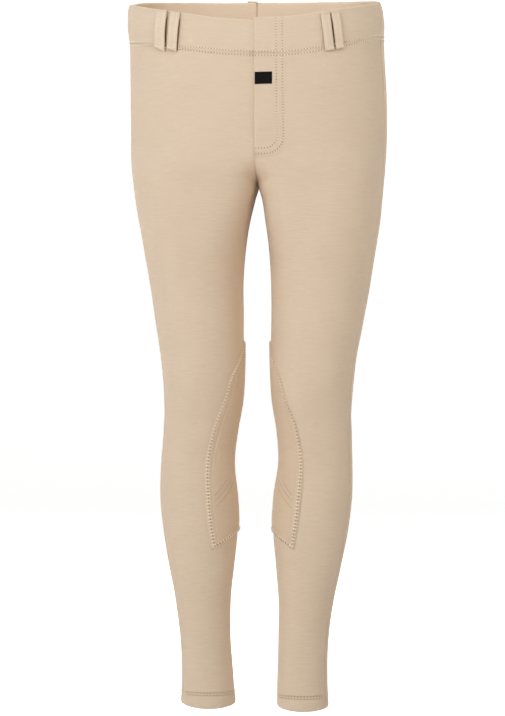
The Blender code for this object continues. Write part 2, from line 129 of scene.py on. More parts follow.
# Troughs of the cloth: angle and height of the middle, reach along and across, tilt of the long way from
# level, bend (how far its ends rise) and depth (a ridge is negative). The solids have the first ten, the
# kneecaps lower than here.
FOLDS = table(
    "side angle height reach breadth tilt bend depth",
    (RIGHT, 98, -462, 24, 16, 8, 0, 1.3),
    (LEFT, 100, -464, 24, 16, -6, 0, 1.3),
    (RIGHT, 238, -448, 30, 16, 10, 0, 2.4),
    (LEFT, 236, -450, 30, 16, -9, 0, 2.4),
    (RIGHT, 232, -486, 26, 16, -12, 0, 1.6),
    (LEFT, 230, -489, 26, 16, 13, 0, 1.6),
    (RIGHT, 290, -222, 42, 18, 24, 0, 2.0),
    (LEFT, 292, -224, 42, 18, 24, 0, 2.0),
    # kneecaps and the crescents under them
    (RIGHT, 102, -414, 34, 24, 0, 0, -2.6),
    (LEFT, 100, -416, 32, 24, 0, 0, -2.7),
    (RIGHT, 102, -510, 44, 24, -3, 5, 3.4),
    (LEFT, 101, -512, 44, 24, 4, 5, 3.9),
    (LEFT, 88, -468, 16, 6, 3, 3, -0.5),
    (RIGHT, 108, -474, 15, 6, 12, 4, 0.35),
    # short creases between the kneecap and the patch
    (LEFT, 83, -498, 14, 4.5, -26, 2, 0.75),
    (LEFT, 88, -509, 14, 4.5, -30, 0, -0.5),
    (LEFT, 104, -489, 13, 5, 18, 2, 0.4),
    (RIGHT, 84, -484, 10, 5, 32, 0, 0.4),
    (RIGHT, 120, -492, 14, 6, -18, 3, 0.35),
    (RIGHT, 60, -487, 12, 2.6, 78, 2, 0.6),
    (RIGHT, 53, -497, 11, 2.4, 84, -2, 0.5),
    (LEFT, 66, -497, 9, 2.4, 58, 1, 0.45),
    # soft bulge above the foot of each patch
    (RIGHT, 30, -577, 26, 5, 14, 2, -0.9),
    (RIGHT, 34, -589, 20, 4, 14, 2, 0.5),
    (LEFT, 26, -575, 24, 5, -18, 2, -0.8),
    (LEFT, 40, -588, 18, 4, -22, 1, 0.5),
    # behind the knees
    (RIGHT, 262, -462, 17, 5, 22, 4, 1.0),
    (LEFT, 258, -465, 19, 5, -19, 4, 1.1),
    (RIGHT, 214, -470, 17, 5.5, -14, -3, 0.8),
    (LEFT, 216, -471, 15, 5, 16, -3, 0.7),
    (RIGHT, 250, -436, 20, 6, -8, 5, 0.8),
    (LEFT, 246, -433, 18, 6, 10, 5, 0.9),
    (RIGHT, 240, -504, 16, 5.5, 12, -4, 0.6),
    (LEFT, 243, -508, 18, 5, -9, -4, 0.6),
    (RIGHT, 280, -480, 14, 4.5, 40, 0, 0.6),
    (LEFT, 282, -484, 15, 4.5, 37, 0, 0.6),
    # seat, under the seat and inner thigh
    (RIGHT, 312, -250, 26, 9, 30, 6, 1.0),
    (LEFT, 314, -247, 28, 9, 28, 6, 1.1),
    (RIGHT, 268, -252, 30, 11, 12, -6, 0.9),
    (LEFT, 270, -256, 28, 11, 14, -6, 0.9),
    (RIGHT, 328, -226, 16, 6, 48, 0, 0.8),
    (LEFT, 330, -229, 17, 6, 46, 0, 0.8),
    # above the hems, on the calves and at the sides of the knees
    (RIGHT, 60, -738, 20, 6, 9, 3, 0.45),
    (RIGHT, 150, -722, 18, 7, -12, 3, 0.4),
    (LEFT, 74, -744, 18, 6, -8, 3, 0.4),
    (LEFT, 150, -728, 17, 6, 13, 2, 0.45),
    (RIGHT, 250, -742, 20, 6, -9, 3, 0.6),
    (LEFT, 255, -748, 18, 6, 10, 3, 0.55),
    (RIGHT, 240, -706, 17, 6, 14, 3, 0.45),
    (LEFT, 236, -712, 18, 6, -12, 3, 0.45),
    (RIGHT, 176, -452, 16, 8, 4, 3, 0.5),
    (LEFT, 178, -455, 16, 8, -4, 3, 0.5),
    # under the waistband
    (RIGHT, 103, -70, 34, 7, 4, 5, 0.55),
    (LEFT, 108, -74, 20, 7, -6, 3, 0.5),
    (LEFT, 104, -96, 7, 16, 0, 0, 0.4),
    (RIGHT, 138, -62, 18, 7, 10, 3, 0.4),
    (LEFT, 140, -58, 16, 7, -12, 3, 0.4),
    (RIGHT, 250, -52, 22, 8, 4, 3, 0.5),
    (LEFT, 246, -50, 22, 8, -5, 3, 0.5),
    # waistband over its elastic
    (LEFT, 107, -34, 22, 6, 84, 0, 0.5),
    (LEFT, 148, -18, 18, 6, 88, 0, 0.35),
    (RIGHT, 112, -36, 20, 7, 94, 0, 0.35),
    (RIGHT, 158, -16, 18, 7, 90, 0, 0.35),
)
FOLD_RADIUS = 48.0  # turns an angle into a distance round the leg

# Slow unevenness of worn cloth: how many waves go round, how many radians per millimetre go up, and height
WAVES = table(
    "round_it up_it start height",
    *((2.0, 0.031, 0.4, 0.16), (3.0, -0.047, 1.9, 0.13), (5.0, 0.078, 4.1, 0.08), (4.0, -0.113, 2.7, 0.06)),
)

PANEL_COLUMNS, BODY_ROWS, LEG_ROWS, HEM_ROWS = 84, 70, 240, 14
BODY_ROWS_CLOSER, LEG_ROWS_CLOSER = 2.0, 1.12
SIDE_AT_CROTCH = -246.0

FLY_EDGE, FLY_WIDTH, FLY_FOOT, FLY_CORNER = -0.2, 36.5, -172.0, 21.0  # runs out past the solid's edge
FLY_WALL_EDGE, FLY_WALL_FOOT, FLY_EDGE_ROLL = 1.5, 0.25, 1.1
FLY_COLUMNS, FLY_STRAIGHT_ROWS, FLY_CORNER_ROWS = 40, 70, 26
FLY_CORNER_TURN = 78.0

PATCH = table(
    "height spread",
    *((-603, 69), (-575, 74.5), (-545, 76), (-504, 72), (-457, 63)),
    *((-436, 54), (-412, 44), (-390, 24), (-370, 5)),
)
PATCH_TOP, PATCH_FOOT_MIDDLE, PATCH_FOOT_CORNER, PATCH_FOOT_ARCH = -370.0, -583.0, -603.0, 1.3
PATCH_COLUMNS, PATCH_ROWS, PATCH_ROWS_CLOSER = 104, 168, 1.3

# shade is the width of the dark gap that shows under a loop's edge
LOOPS = table(
    "name side turn_top turn_foot width above_rim lean shade",
    ("loop_right_outer", RIGHT, 41.0, 43.4, 14.0, -0.8, 0.3, 1.8),
    ("loop_right_inner", RIGHT, 32.9, 35.6, 11.8, -0.8, 0.2, 1.8),
    ("loop_left_inner", LEFT, 30.0, 32.1, 10.4, -2.6, 0.0, 0.0),
    ("loop_left_outer", LEFT, 35.7, 38.0, 9.7, -2.8, 0.0, 1.1),
    ("loop_back", RIGHT, 178.5, 178.5, 11.0, 1.5, 0.0, 0.0),
)
LOOP_PAST_SEAM, LOOP_ROWS, LOOP_SIDES = 4.2, 60, 32
LOOP_STRAIGHTENED = 0.35  # middles of the front loops stand this many degrees nearer the fly
LOOP_TURNED = 0.06  # share of its height where an end is turned under, down to the band
LOOP_BOW = table("share stand_off", (0, 0.6), (0.08, 1.0), (0.2, 1.4), (0.8, 1.7), (0.92, 1.7), (1, 1.6))
LABEL_LEFT, LABEL_RIGHT, LABEL_TOP, LABEL_FOOT, LABEL_TILT = 0.4, 19.4, -78.0, -91.4, 0.5
LABEL_COLUMNS, LABEL_ROWS = 30, 20

# ---------------------------------------------------------------- seams and edges of the shells
GROOVE_DEPTH, GROOVE_REACH = 1.0, 1.1  # cloth sinks into a seam
SIDE_GROOVE, CENTRE_GROOVE, TOP_GROOVE = 1.6, 0.3, 0.1  # the same at the side, centre front and waistband
CENTRE_GROOVE_GROWS = 10.0  # the centre front seam's groove grows over this height below the crotch
SEAM_CLEAR = 20.0  # further than this from a seam, the cloth doesn't sink
COVERED_ABOVE, COVERED_FADE = -160.0, 3.0  # the fly covers the centre front seam above this height
CLOSED_RISE, CLOSED_REACH = 5.0, 6.0  # the centre seam is shut this far above the crotch and this wide
ALLOWANCE_RISE, ALLOWANCE_AT, ALLOWANCE_REACH = 0.22, 4.2, 2.2  # pressed allowance under the cloth
ALLOWANCE_WALL, ALLOWANCE_WIDTH = 1.1, 7.0  # the same inside
PLAIN_THINNER = 0.4  # the wall away from seams, under WALL
EDGE_RADIUS = 0.8  # rolled free edge
UNDER_FLY, UNDER_FLY_REACH, UNDER_FLY_FADE = 0.7, 7.0, 30.0  # the right half sinks under the fly's edge
HEM_BULGE, HEM_WALL_FROM = 0.3, 1.0
HEM_GROOVE, HEM_GROOVE_REACH = 0.15, 1.2
HEM_RIDGE, HEM_RIDGE_AT, HEM_RIDGE_REACH = 0.2, 3.2, 2.2


def through(rows, values, at):
    """Smooth curve through the rows of a table: cubic between them, with slopes from their neighbours."""
    rows, values = np.asarray(rows, float), np.asarray(values, float)
    slopes = np.gradient(values, rows)
    at = np.clip(np.asarray(at, float), rows[0], rows[-1])
    i = np.clip(np.searchsorted(rows, at) - 1, 0, len(rows) - 2)
    step = rows[i + 1] - rows[i]
    s = (at - rows[i]) / step
    start = (1 + 2 * s) * (1 - s) ** 2 * values[i] + s * (1 - s) ** 2 * step * slopes[i]
    end = s**2 * (3 - 2 * s) * values[i + 1] + s**2 * (s - 1) * step * slopes[i + 1]
    return start + end


def column(rows, name):
    return [getattr(row, name) for row in rows]


def read(rows, name, at):
    """Smooth curve through a column of a table, over its first column."""
    return through([row[0] for row in rows], column(rows, name), at)


def ease(share):
    """0 to 1 with a level start and end."""
    share = np.clip(share, 0, 1)
    return share * share * (3 - 2 * share)


def mix(start, end, share):
    return start + (end - start) * share


def unit(ways):
    """The same ways, each of length 1."""
    return ways / np.linalg.norm(ways, axis=-1, keepdims=True)


def bell(distance, reach):
    """1 at no distance, fading to 0 both ways."""
    return np.exp(-((distance / reach) ** 2))


def power(value, exponent):
    return np.sign(value) * np.abs(value) ** exponent


def roundness(height):
    return mix(BODY_ROUND, LEG_ROUND, ease((CROTCH - height) / (CROTCH - LEG_ROUND_FROM)))


def front_roundness(height):
    """Power of the quarter in front of the inside leg: squarer at the crotch."""
    reach = np.where(height < CROTCH, CROTCH_ROUND_REACH, FRONT_CURVE)
    grown = ease(np.abs(height - CROTCH) / reach)
    return mix(CROTCH_ROUND, roundness(height), grown)


def centre_angle(height, curve):
    """Angle where the walk starts: 90 on the body, 0 at the crotch and below, with a round seam between."""
    share = np.clip((height - CROTCH) / curve, 0, 1)
    started = np.where(share < SEAM_START, share**2 / (2 * SEAM_START), share - SEAM_START / 2)
    return np.degrees(np.arccos((1 - started / (1 - SEAM_START / 2)) ** 2))


def back_sway(height):
    """X of the centre back seam."""
    return -BACK_SEAM_SWAY * ease((height - SWAY_FOOT) / -SWAY_FOOT)


def section_point(side, angle, height):
    """Cloth with neither folds nor lift, one half, at arrays of angles and heights."""
    angle = np.mod(angle, 360)
    behind = angle > 180
    start = np.where(behind, centre_angle(height, BACK_CURVE), centre_angle(height, FRONT_CURVE))
    body_power = roundness(height)
    start_power = np.where(behind, body_power, front_roundness(height))
    power_of = np.where(angle < 90, front_roundness(height), body_power)
    names = "out_" + WORDS[side], "in_" + WORDS[side], "front", "back", "middle"
    outer, inner, front, back, middle = (read(SECTIONS, name, height) for name in names)
    inner = np.where(height < CROTCH, inner, 0)
    inner = np.where(behind, inner + side * back_sway(height), inner)
    opened = power(np.cos(np.radians(start)), start_power)
    reach = (outer - inner) / (1 + opened)
    x = inner + reach * opened - reach * power(np.cos(np.radians(angle)), power_of)
    depth = np.where(behind, back - middle, middle - front)
    y = middle - depth * power(np.sin(np.radians(angle)), power_of)
    return np.stack([side * x, y, height + 0 * x], axis=-1)


def folds(side, angle, height):
    """Lift of the cloth by its folds and its slow unevenness."""
    lift = 0
    for wave in WAVES:
        at = wave.round_it * np.radians(angle) + wave.up_it * height + wave.start + side
        lift = lift + wave.height * np.sin(at)
    for fold in FOLDS:
        if fold.side != side:
            continue
        tilt = np.radians(fold.tilt)
        across = np.radians(angle - fold.angle) * FOLD_RADIUS
        up = height - fold.height
        along = (across * np.cos(tilt) + up * np.sin(tilt)) / fold.reach
        aside = up * np.cos(tilt) - across * np.sin(tilt) - fold.bend * along**2
        lift = lift - fold.depth * np.exp(-(along**2) - (aside / fold.breadth) ** 2)
    return lift


def frame_of(side, angle, height):
    """Points of the plain form, and the way out of it."""
    angle, height = np.broadcast_arrays(np.asarray(angle, float), np.asarray(height, float))
    ahead, behind = (section_point(side, angle + turn, height) for turn in (NORMAL_TURN, -NORMAL_TURN))
    above, below = (section_point(side, angle, height + rise) for rise in (NORMAL_RISE, -NORMAL_RISE))
    normal = side * np.cross(ahead - behind, above - below)
    return section_point(side, angle, height), unit(normal)


def cloth(side, angle, height, lift=0.0):
    """Points on the outside of the cloth of one half, lifted off it by a distance."""
    points, normal = frame_of(side, angle, height)
    out = folds(side, angle, height) + lift
    return points + out[..., None] * normal


def waist_height(side, angle, line):
    """Height of the rim or of the band's lower seam at an angle of the walk."""
    return read(WAIST, line + "_" + WORDS[side], angle - 90)


def rim_and_seam(side, angle):
    return waist_height(side, angle, "rim"), waist_height(side, angle, "seam")


def hem_height(side, angle):
    """Height of the lower edge: a curve through the four heights of the hem."""
    hem, turn = HEMS[side], np.radians(angle)
    middle = (hem.inside + hem.front + hem.side + hem.back) / 4
    sideways = (hem.inside - hem.side) / 2 * np.cos(turn)
    forward = (hem.front - hem.back) / 2 * np.sin(turn)
    twice = (hem.inside - hem.front + hem.side - hem.back) / 4 * np.cos(2 * turn)
    return middle + sideways + forward + twice


# ---------------------------------------------------------------- meshes
def seam_shares(count):
    """Shares from 0 to 1 that stand close together at both ends, where the cloth turns into a seam."""
    return (1 - np.cos(np.pi * np.linspace(0, 1, count + 1))) / 2


def lengths_along(points, axis):
    """Distance walked along an axis of a grid of points."""
    steps = np.linalg.norm(np.diff(points, axis=axis), axis=-1)
    start = np.zeros_like(np.take(steps, [0], axis=axis))
    return np.cumsum(np.concatenate([start, steps], axis=axis), axis=axis)


def cut_place(along, up):
    """Place on the flat cut: across from the middle of each row, and up."""
    return np.stack([along - along[:, -1:] / 2, up], axis=-1)


def rolled(distance, radius=EDGE_RADIUS):
    """How far a face sinks near a free edge of round profile."""
    inside = radius - np.clip(distance, 0, radius)
    return radius - np.sqrt(np.maximum(radius**2 - inside**2, 0))


def sunk_in_seam(distance, depth):
    """Lift of the cloth at a distance from a seam: a narrow groove and the pressed allowance beside it."""
    allowance = ALLOWANCE_RISE * bell(distance - ALLOWANCE_AT, ALLOWANCE_REACH)
    return allowance - depth * bell(distance, GROOVE_REACH)


def make_object(name, vertices, faces, uv, materials, face_materials=None):
    mesh = bpy.data.meshes.new(name)
    mesh.from_pydata((vertices * MM).tolist(), [], faces.tolist())
    layer = mesh.uv_layers.new(name="cut")
    corner = np.empty(len(mesh.loops), np.int32)
    mesh.loops.foreach_get("vertex_index", corner)
    layer.data.foreach_set("uv", (uv[corner] * MM).astype(np.float32).ravel())
    for material in materials:
        mesh.materials.append(material)
    if face_materials is not None:
        mesh.polygons.foreach_set("material_index", face_materials)
    mesh.shade_smooth()
    mesh.update()
    made = bpy.data.objects.new(name, mesh)
    bpy.context.scene.collection.objects.link(made)
    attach(made, "root")
    return made


def grid_faces(rows, columns):
    i, j = np.meshgrid(np.arange(rows - 1), np.arange(columns - 1), indexing="ij")
    a = (i * columns + j).ravel()
    return np.stack([a, a + 1, a + columns + 1, a + columns], axis=1)


def ring_faces(index):
    """Faces between the rows of a grid of indices whose columns go round."""
    ahead = np.roll(index, -1, axis=1)
    return np.stack([index[:-1], ahead[:-1], ahead[1:], index[1:]], axis=-1).reshape(-1, 4)


def outward(vertices, faces):
    """The faces of a closed mesh, turned round if it is inside out."""
    a, b, c, d = (vertices[faces[:, i]] for i in range(4))
    volume = (a * np.cross(b, c)).sum() + (a * np.cross(c, d)).sum()
    return faces[:, ::-1] if volume < 0 else faces


def shell(name, outer, inner, uv, material):
    """Closed piece of cloth between two grids of points, one for each face."""
    rows, columns = outer.shape[:2]
    count = rows * columns
    index = np.arange(count).reshape(rows, columns)
    rim = np.concatenate([index[0], index[1:, -1], index[-1, -2::-1], index[-2:0:-1, 0]])
    after = np.roll(rim, -1)
    walls = np.stack([rim, rim + count, after + count, after], axis=1)
    front = grid_faces(rows, columns)
    faces = np.concatenate([front, front[:, ::-1] + count, walls])
    vertices = np.concatenate([outer.reshape(-1, 3), inner.reshape(-1, 3)])
    both = np.concatenate([uv.reshape(-1, 2)] * 2)
    return make_object(name, vertices, outward(vertices, faces), both, [material])


def ring_shell(name, rings, uv, material):
    """Closed piece through rings of points, one to a column, with both ends closed by a strip."""
    columns, around = rings.shape[:2]
    index = np.arange(columns * around).reshape(columns, around)
    half = around // 2
    low, high = np.arange(half - 1), around - 1 - np.arange(half - 1)
    ends = index[0], index[-1]
    caps = [np.stack([row[low], row[low + 1], row[high - 1], row[high]], axis=1) for row in ends]
    faces = np.concatenate([ring_faces(index), caps[0], caps[1][:, ::-1]])
    vertices = rings.reshape(-1, 3)
    return make_object(name, vertices, outward(vertices, faces), uv.reshape(-1, 2), [material])


# ---------------------------------------------------------------- cloth pieces
def sunk_under_fly(side, along):
    """How far the wearer's right half sinks towards the fly's free edge, which lies on it."""
    return UNDER_FLY * (1 - ease(along / UNDER_FLY_REACH)) * (side == RIGHT)


def closed_on_centre(side, points, front, along, heights):
    """Draws a panel's edge onto the centre seam above the crotch, and keeps the panel off the other half."""
    seam = 0 * points[..., 2] if front else back_sway(points[..., 2])
    off = side * points[..., 0] - side * seam - SEAM_GAP / 2
    closed = ease((heights[:, :1] - CROTCH) / CLOSED_RISE) * (1 - ease(along / CLOSED_REACH))
    points[..., 0] -= side * off[:, :1] * closed
    points[..., 0] = side * np.maximum(side * points[..., 0], side * seam + SEAM_GAP / 2)
    return points


def row_angles(front, heights, share):
    """Angles of a panel's points: from where each row meets the centre or the inside leg to the side seam."""
    starts = heights[:, :1]
    start = centre_angle(starts, FRONT_CURVE) if front else 360 - centre_angle(starts, BACK_CURVE)
    return mix(start, read(SIDE_SEAM, "angle", heights), share)


def row_heights(side, front, share):
    """Heights of a panel's rows, level on the body and the leg, and drawn up to the crotch at the inside."""
    stitch = HEMS[side].stitch
    level = np.ones((1, len(share)))
    top = row_angles(front, SIDE_SEAM_UPRIGHT_FROM * level, share)[0]
    foot = row_angles(front, stitch * level, share)[0]
    seam = waist_height(side, top, "seam") - SEAM_GAP / 2
    down = np.linspace(0, 1, BODY_ROWS)[:, None]
    at_centre = mix(seam, CROTCH, 1 - (1 - down) ** BODY_ROWS_CLOSER)
    body = mix(at_centre, mix(seam, SIDE_AT_CROTCH, down), ease(share))
    down = np.linspace(0, 1, LEG_ROWS)[1:, None]
    at_centre = mix(CROTCH, stitch, down**LEG_ROWS_CLOSER)
    leg = mix(at_centre, mix(SIDE_AT_CROTCH, stitch, down), ease(share))
    down = np.sin(np.pi / 2 * np.linspace(0, 1, HEM_ROWS + 1)[1:, None])
    return np.vstack([body, leg, mix(stitch, hem_height(side, foot), down)])


def hem_lift(side, height, edge):
    """Turned-up hem: a bulging band under the stitching, a groove at the stitching and a ridge above it."""
    above = height - HEMS[side].stitch
    share = np.clip(-above / (HEMS[side].stitch - edge), 0, 1)
    ridge = HEM_RIDGE * bell(above - HEM_RIDGE_AT, HEM_RIDGE_REACH)
    lift = ridge - HEM_GROOVE * bell(above, HEM_GROOVE_REACH)
    return lift + HEM_BULGE * np.sin(np.pi * share) * (above < 0)


def panel(name, side, front):
    """Front or back panel, from the waistband's seam to the hem."""
    share = seam_shares(PANEL_COLUMNS)
    heights = row_heights(side, front, share)
    angles = row_angles(front, heights, share)
    plain, normal = frame_of(side, angles, heights)
    along, down = (lengths_along(plain, axis) for axis in (1, 0))
    covered = SEAM_CLEAR * ease((heights - COVERED_ABOVE) / COVERED_FADE) * front
    to_centre, to_side = along + covered, along[:, -1:] - along
    grown = ease((heights - CROTCH + CENTRE_GROOVE_GROWS) / CENTRE_GROOVE_GROWS) * front
    centre_depth = mix(GROOVE_DEPTH, CENTRE_GROOVE, grown)
    edge = hem_height(side, angles)
    lift = sunk_in_seam(to_centre, centre_depth) + sunk_in_seam(to_side, SIDE_GROOVE)
    lift = folds(side, angles, heights) + lift + hem_lift(side, heights, edge)
    lift = lift - TOP_GROOVE * bell(down, GROOVE_REACH)
    lift = lift - sunk_under_fly(side, along) * ease((heights - COVERED_ABOVE) / UNDER_FLY_FADE) * front
    hem = ease((HEMS[side].stitch + HEM_WALL_FROM - heights) / (2 * HEM_WALL_FROM))
    inside = ALLOWANCE_WALL * (1 - ease(np.minimum(to_centre, to_side) / ALLOWANCE_WIDTH)) - PLAIN_THINNER
    wall = mix(WALL, HEM_WALL, hem) + inside * (1 - hem)
    roll = rolled(np.maximum(heights - edge, 0), HEM_WALL / 2)
    outer, inner = (
        closed_on_centre(side, plain + out[..., None] * normal, front, along, heights)
        for out in (lift - roll, lift - wall + roll)
    )
    return shell(name, outer, inner, cut_place(along, heights), KNIT)


def band_lift(side, angle, height):
    """Extra lift of the lapping left front end, fading away from the fly."""
    if side == RIGHT:
        return 0 * angle
    from_fly = np.abs(section_point(side, angle, height)[..., 0])
    return np.where(angle < 180, LAP_PROUD * ease(1 - from_fly / LAP_WIDTH), 0)


def band_surface(side, angle, height):
    """Lift of the waistband's outer face at a height."""
    rim, seam = rim_and_seam(side, angle)
    share = np.clip((height - seam) / (rim - seam), 0, 1)
    lift = np.interp(share, column(BAND_OUTSIDE, "share"), column(BAND_OUTSIDE, "lift"))
    return lift + band_lift(side, angle, height)


def band(name, side, first, last):
    """One quarter of the waistband, folded over at the rim; a front one starts with a free end at the fly."""
    free_start = first <= 90
    angles = mix(first, last, seam_shares(BAND_COLUMNS))
    rows = np.arange(len(BAND_PROFILE))
    steps = np.linspace(0, rows[-1], rows[-1] * BAND_STEPS + 1)
    share, lift = (through(rows, column(BAND_PROFILE, field), steps)[:, None] for field in ("share", "lift"))
    seam = waist_height(side, angles, "seam") + SEAM_GAP / 2
    height = mix(seam, waist_height(side, angles, "rim"), share)
    angle = angles + 0 * height
    plain, normal = frame_of(side, angle, height)
    along = lengths_along(plain, 1)
    outside = lift > 0
    out = lift + folds(side, angle, height) + band_lift(side, angle, height) * outside
    out = out - sunk_under_fly(side, along) * outside * free_start
    from_start = along + SEAM_CLEAR * (side == RIGHT and free_start)
    ends = (from_start, END_ROLL if free_start else SEAM_ROLL), (along[:, -1:] - along, SEAM_ROLL)
    end_roll = sum(rolled(distance, radius) for distance, radius in ends) * np.where(outside, 1, -1)
    points = plain + (out - end_roll)[..., None] * normal
    around = lengths_along(points, 0)
    # the cut's height is counted from the rim, where the painted highlight and the painted light inside are
    # placed
    around = around - around[int(np.argmax(share))]
    uv = cut_place(along, around)
    return ring_shell(name, points.transpose(1, 0, 2), uv.transpose(1, 0, 2), BAND_KNIT)


def front_angle(x, height):
    """Angle at which the front of the wearer's left half is a distance x from the centre seam."""
    inside = front_roundness(height)
    opened = power(np.cos(np.radians(centre_angle(height, FRONT_CURVE))), inside)
    off = opened - x / read(SECTIONS, "out_left", height) * (1 + opened)
    return np.degrees(np.arccos(power(off, 1 / np.where(off > 0, inside, roundness(height)))))


def on_front(x, height, lift):
    return cloth(LEFT, front_angle(x, height), height, lift)


FLY_FADE, FLY_SUNK = 9.0, 0.06  # the flap runs out into the panel over this width, to just under its face
FLY_TOP_ROLL, FLY_TOP_REACH, FLY_ROLLED_FROM = 0.25, 1.0, 0.3
FLY_LOOSE, FLY_THINNEST = 4.0, 0.5  # it stands off the panel over this width from its free edge


def fly_lift(x, height):
    """Lift of the flap's outside: thick at its free edge, running out into the panel at its stitched edge."""
    share = (x - FLY_EDGE) / (FLY_WIDTH - FLY_EDGE)
    lift = LAY_GAP + FLY_WALL_EDGE + (FLY_WALL_FOOT - FLY_WALL_EDGE) * ease(share)
    past, under = x - (FLY_WIDTH - FLY_CORNER), FLY_FOOT + FLY_CORNER - height
    shown = ease((FLY_CORNER - np.hypot(np.maximum(past, 0), np.maximum(under, 0))) / FLY_FADE)
    return lift * shown - FLY_SUNK * (1 - shown)


def fly_flap(name):
    """Flap over the left front: thick at its free edge, thin where it is stitched down."""
    top = waist_height(LEFT, 90.0, "seam")
    straight = np.linspace(top, FLY_FOOT + FLY_CORNER, FLY_STRAIGHT_ROWS + 1)
    corner = np.radians(np.linspace(0, FLY_CORNER_TURN, FLY_CORNER_ROWS + 1)[1:])
    heights = np.concatenate([straight, FLY_FOOT + FLY_CORNER * (1 - np.sin(corner))])
    widths = np.concatenate([0 * straight + FLY_WIDTH, FLY_WIDTH - FLY_CORNER * (1 - np.cos(corner))])
    x = mix(FLY_EDGE, widths[:, None], seam_shares(FLY_COLUMNS))
    height = heights[:, None] + 0 * x
    height[0] = waist_height(LEFT, front_angle(x[0], height[0]), "seam") - SEAM_GAP
    face, stitched = fly_lift(x, height), stitched_down(x, height)
    top_roll = FLY_TOP_ROLL * bell(height[0] - height, FLY_TOP_REACH) * (face > FLY_ROLLED_FROM)
    outer = on_front(x, height, face - rolled(x - FLY_EDGE, FLY_EDGE_ROLL) - top_roll - stitched)
    under = LAY_GAP * (1 - ease(x / FLY_LOOSE)) + rolled(x - FLY_EDGE, FLY_WALL_EDGE - FLY_EDGE_ROLL)
    inner = on_front(x, height, np.minimum(under, face - stitched - FLY_THINNEST))
    return shell(name, outer, inner, np.stack([x, height], axis=-1), KNIT)


# Rows of stitching down the fly: distance from the centre, height of the foot and radius of the corner
J_ROWS = table("across foot radius", (24.9, -160.3, 13.5), (31.8, -166.2, 19.0))
J_SLANT = 0.014  # the rows run this much towards the centre for each millimetre up
J_TOP, J_END = -60.6, 1.6  # height where the rows start, and their ends' distance from the centre
J_CORNER_STEPS, J_SAMPLES = 30, 240
STITCH_SINK, STITCH_SINK_REACH = 0.3, 0.8


def j_line(row):
    """Points of one row of the fly's stitching below the band, from the band down and round to the centre."""
    turn = np.linspace(0, np.pi / 2, J_CORNER_STEPS)
    x = np.concatenate([[row.across], row.across - row.radius * (1 - np.cos(turn)), [J_END]])
    z = np.concatenate([[J_TOP], row.foot + row.radius * (1 - np.sin(turn)), [row.foot]])
    x = x - J_SLANT * (z - row.foot) * np.clip(x / row.across, 0, 1)
    run = lengths_along(np.stack([x, z], axis=-1), 0)
    at = np.linspace(0, run[-1], int(run[-1]) + 1)
    return np.interp(at, run, x), np.interp(at, run, z)


def stitched_down(x, height):
    """How far the flap's face is drawn in along the rows of stitching."""
    depth = 0 * x
    for row in J_ROWS:
        line = j_line(row)
        steps = np.linspace(0, len(line[0]) - 1, J_SAMPLES)
        at_x, at_z = (np.interp(steps, np.arange(len(values)), values) for values in line)
        near = np.min((x[..., None] - at_x) ** 2 + (height[..., None] - at_z) ** 2, axis=-1)
        depth = depth + STITCH_SINK * np.exp(-near / STITCH_SINK_REACH**2)
    return depth


LABEL_OFF, LABEL_HUG, LABEL_HUG_REACH = 0.05, 0.25, 2.0  # how it lies on the flap, closer at its edges


def label(name):
    along = np.linspace(0, 1, LABEL_COLUMNS + 1)
    height = np.linspace(LABEL_TOP, LABEL_FOOT, LABEL_ROWS + 1)[:, None] + LABEL_TILT * along
    x = mix(LABEL_LEFT, LABEL_RIGHT, along) + 0 * height
    to_edge = np.minimum.reduce([x - LABEL_LEFT, LABEL_RIGHT - x, height[0] - height, height - height[-1]])
    inset = rolled(to_edge, LABEL_WALL / 2)
    under = fly_lift(x, height) + LABEL_OFF
    hug = LABEL_HUG * (1 - ease(to_edge / LABEL_HUG_REACH))
    outer = on_front(x, height, under + LABEL_WALL - inset - hug)
    inner = on_front(x, height, under + inset - hug)
    return shell(name, outer, inner, np.stack([x, height], axis=-1), LABEL_WEAVE)


def patch_angle(across, height):
    return across * read(PATCH, "spread", height)


def patch_foot(across):
    return mix(PATCH_FOOT_MIDDLE, PATCH_FOOT_CORNER, np.abs(across) ** PATCH_FOOT_ARCH)


# Quilting lines inside a patch, from near its front edge inwards
QUILTS = table(
    "angle height to_angle to_height", (60, -541, 35, -525), (60, -547, 27, -526), (61, -555, 17, -527)
)
QUILT_DEPTH, QUILT_REACH = 0.25, 1.2
LADDER_MIDDLE, LADDER_INNER, PATCH_OUTER = 4.0, 8.3, 1.0  # rungs, inner row and outer groove, from the edge
INNER_SINK, INNER_REACH, OUTER_SINK, OUTER_REACH = 0.6, 0.9, 0.2, 0.7
EDGE_SINK, EDGE_SINK_REACH = 1.4, 2.8  # the edge of a patch is sewn down into the cloth under it
PATCH_THICKER = 0.1  # inside, so that it lies in the cloth's small waves


def quilted(angle, height):
    """How far the patch's face is drawn in along its quilting lines, in front and, mirrored, behind."""
    turn = np.abs(angle) * FOLD_RADIUS * np.pi / 180
    depth = 0 * angle
    for line in QUILTS:
        start, end = (np.array([a * FOLD_RADIUS * np.pi / 180, h]) for a, h in (line[:2], line[2:]))
        way = end - start
        share = np.clip(((turn - start[0]) * way[0] + (height - start[1]) * way[1]) / (way @ way), 0, 1)
        off = (turn - start[0] - share * way[0]) ** 2 + (height - start[1] - share * way[1]) ** 2
        depth = depth + QUILT_DEPTH * np.exp(-off / QUILT_REACH**2)
    return depth


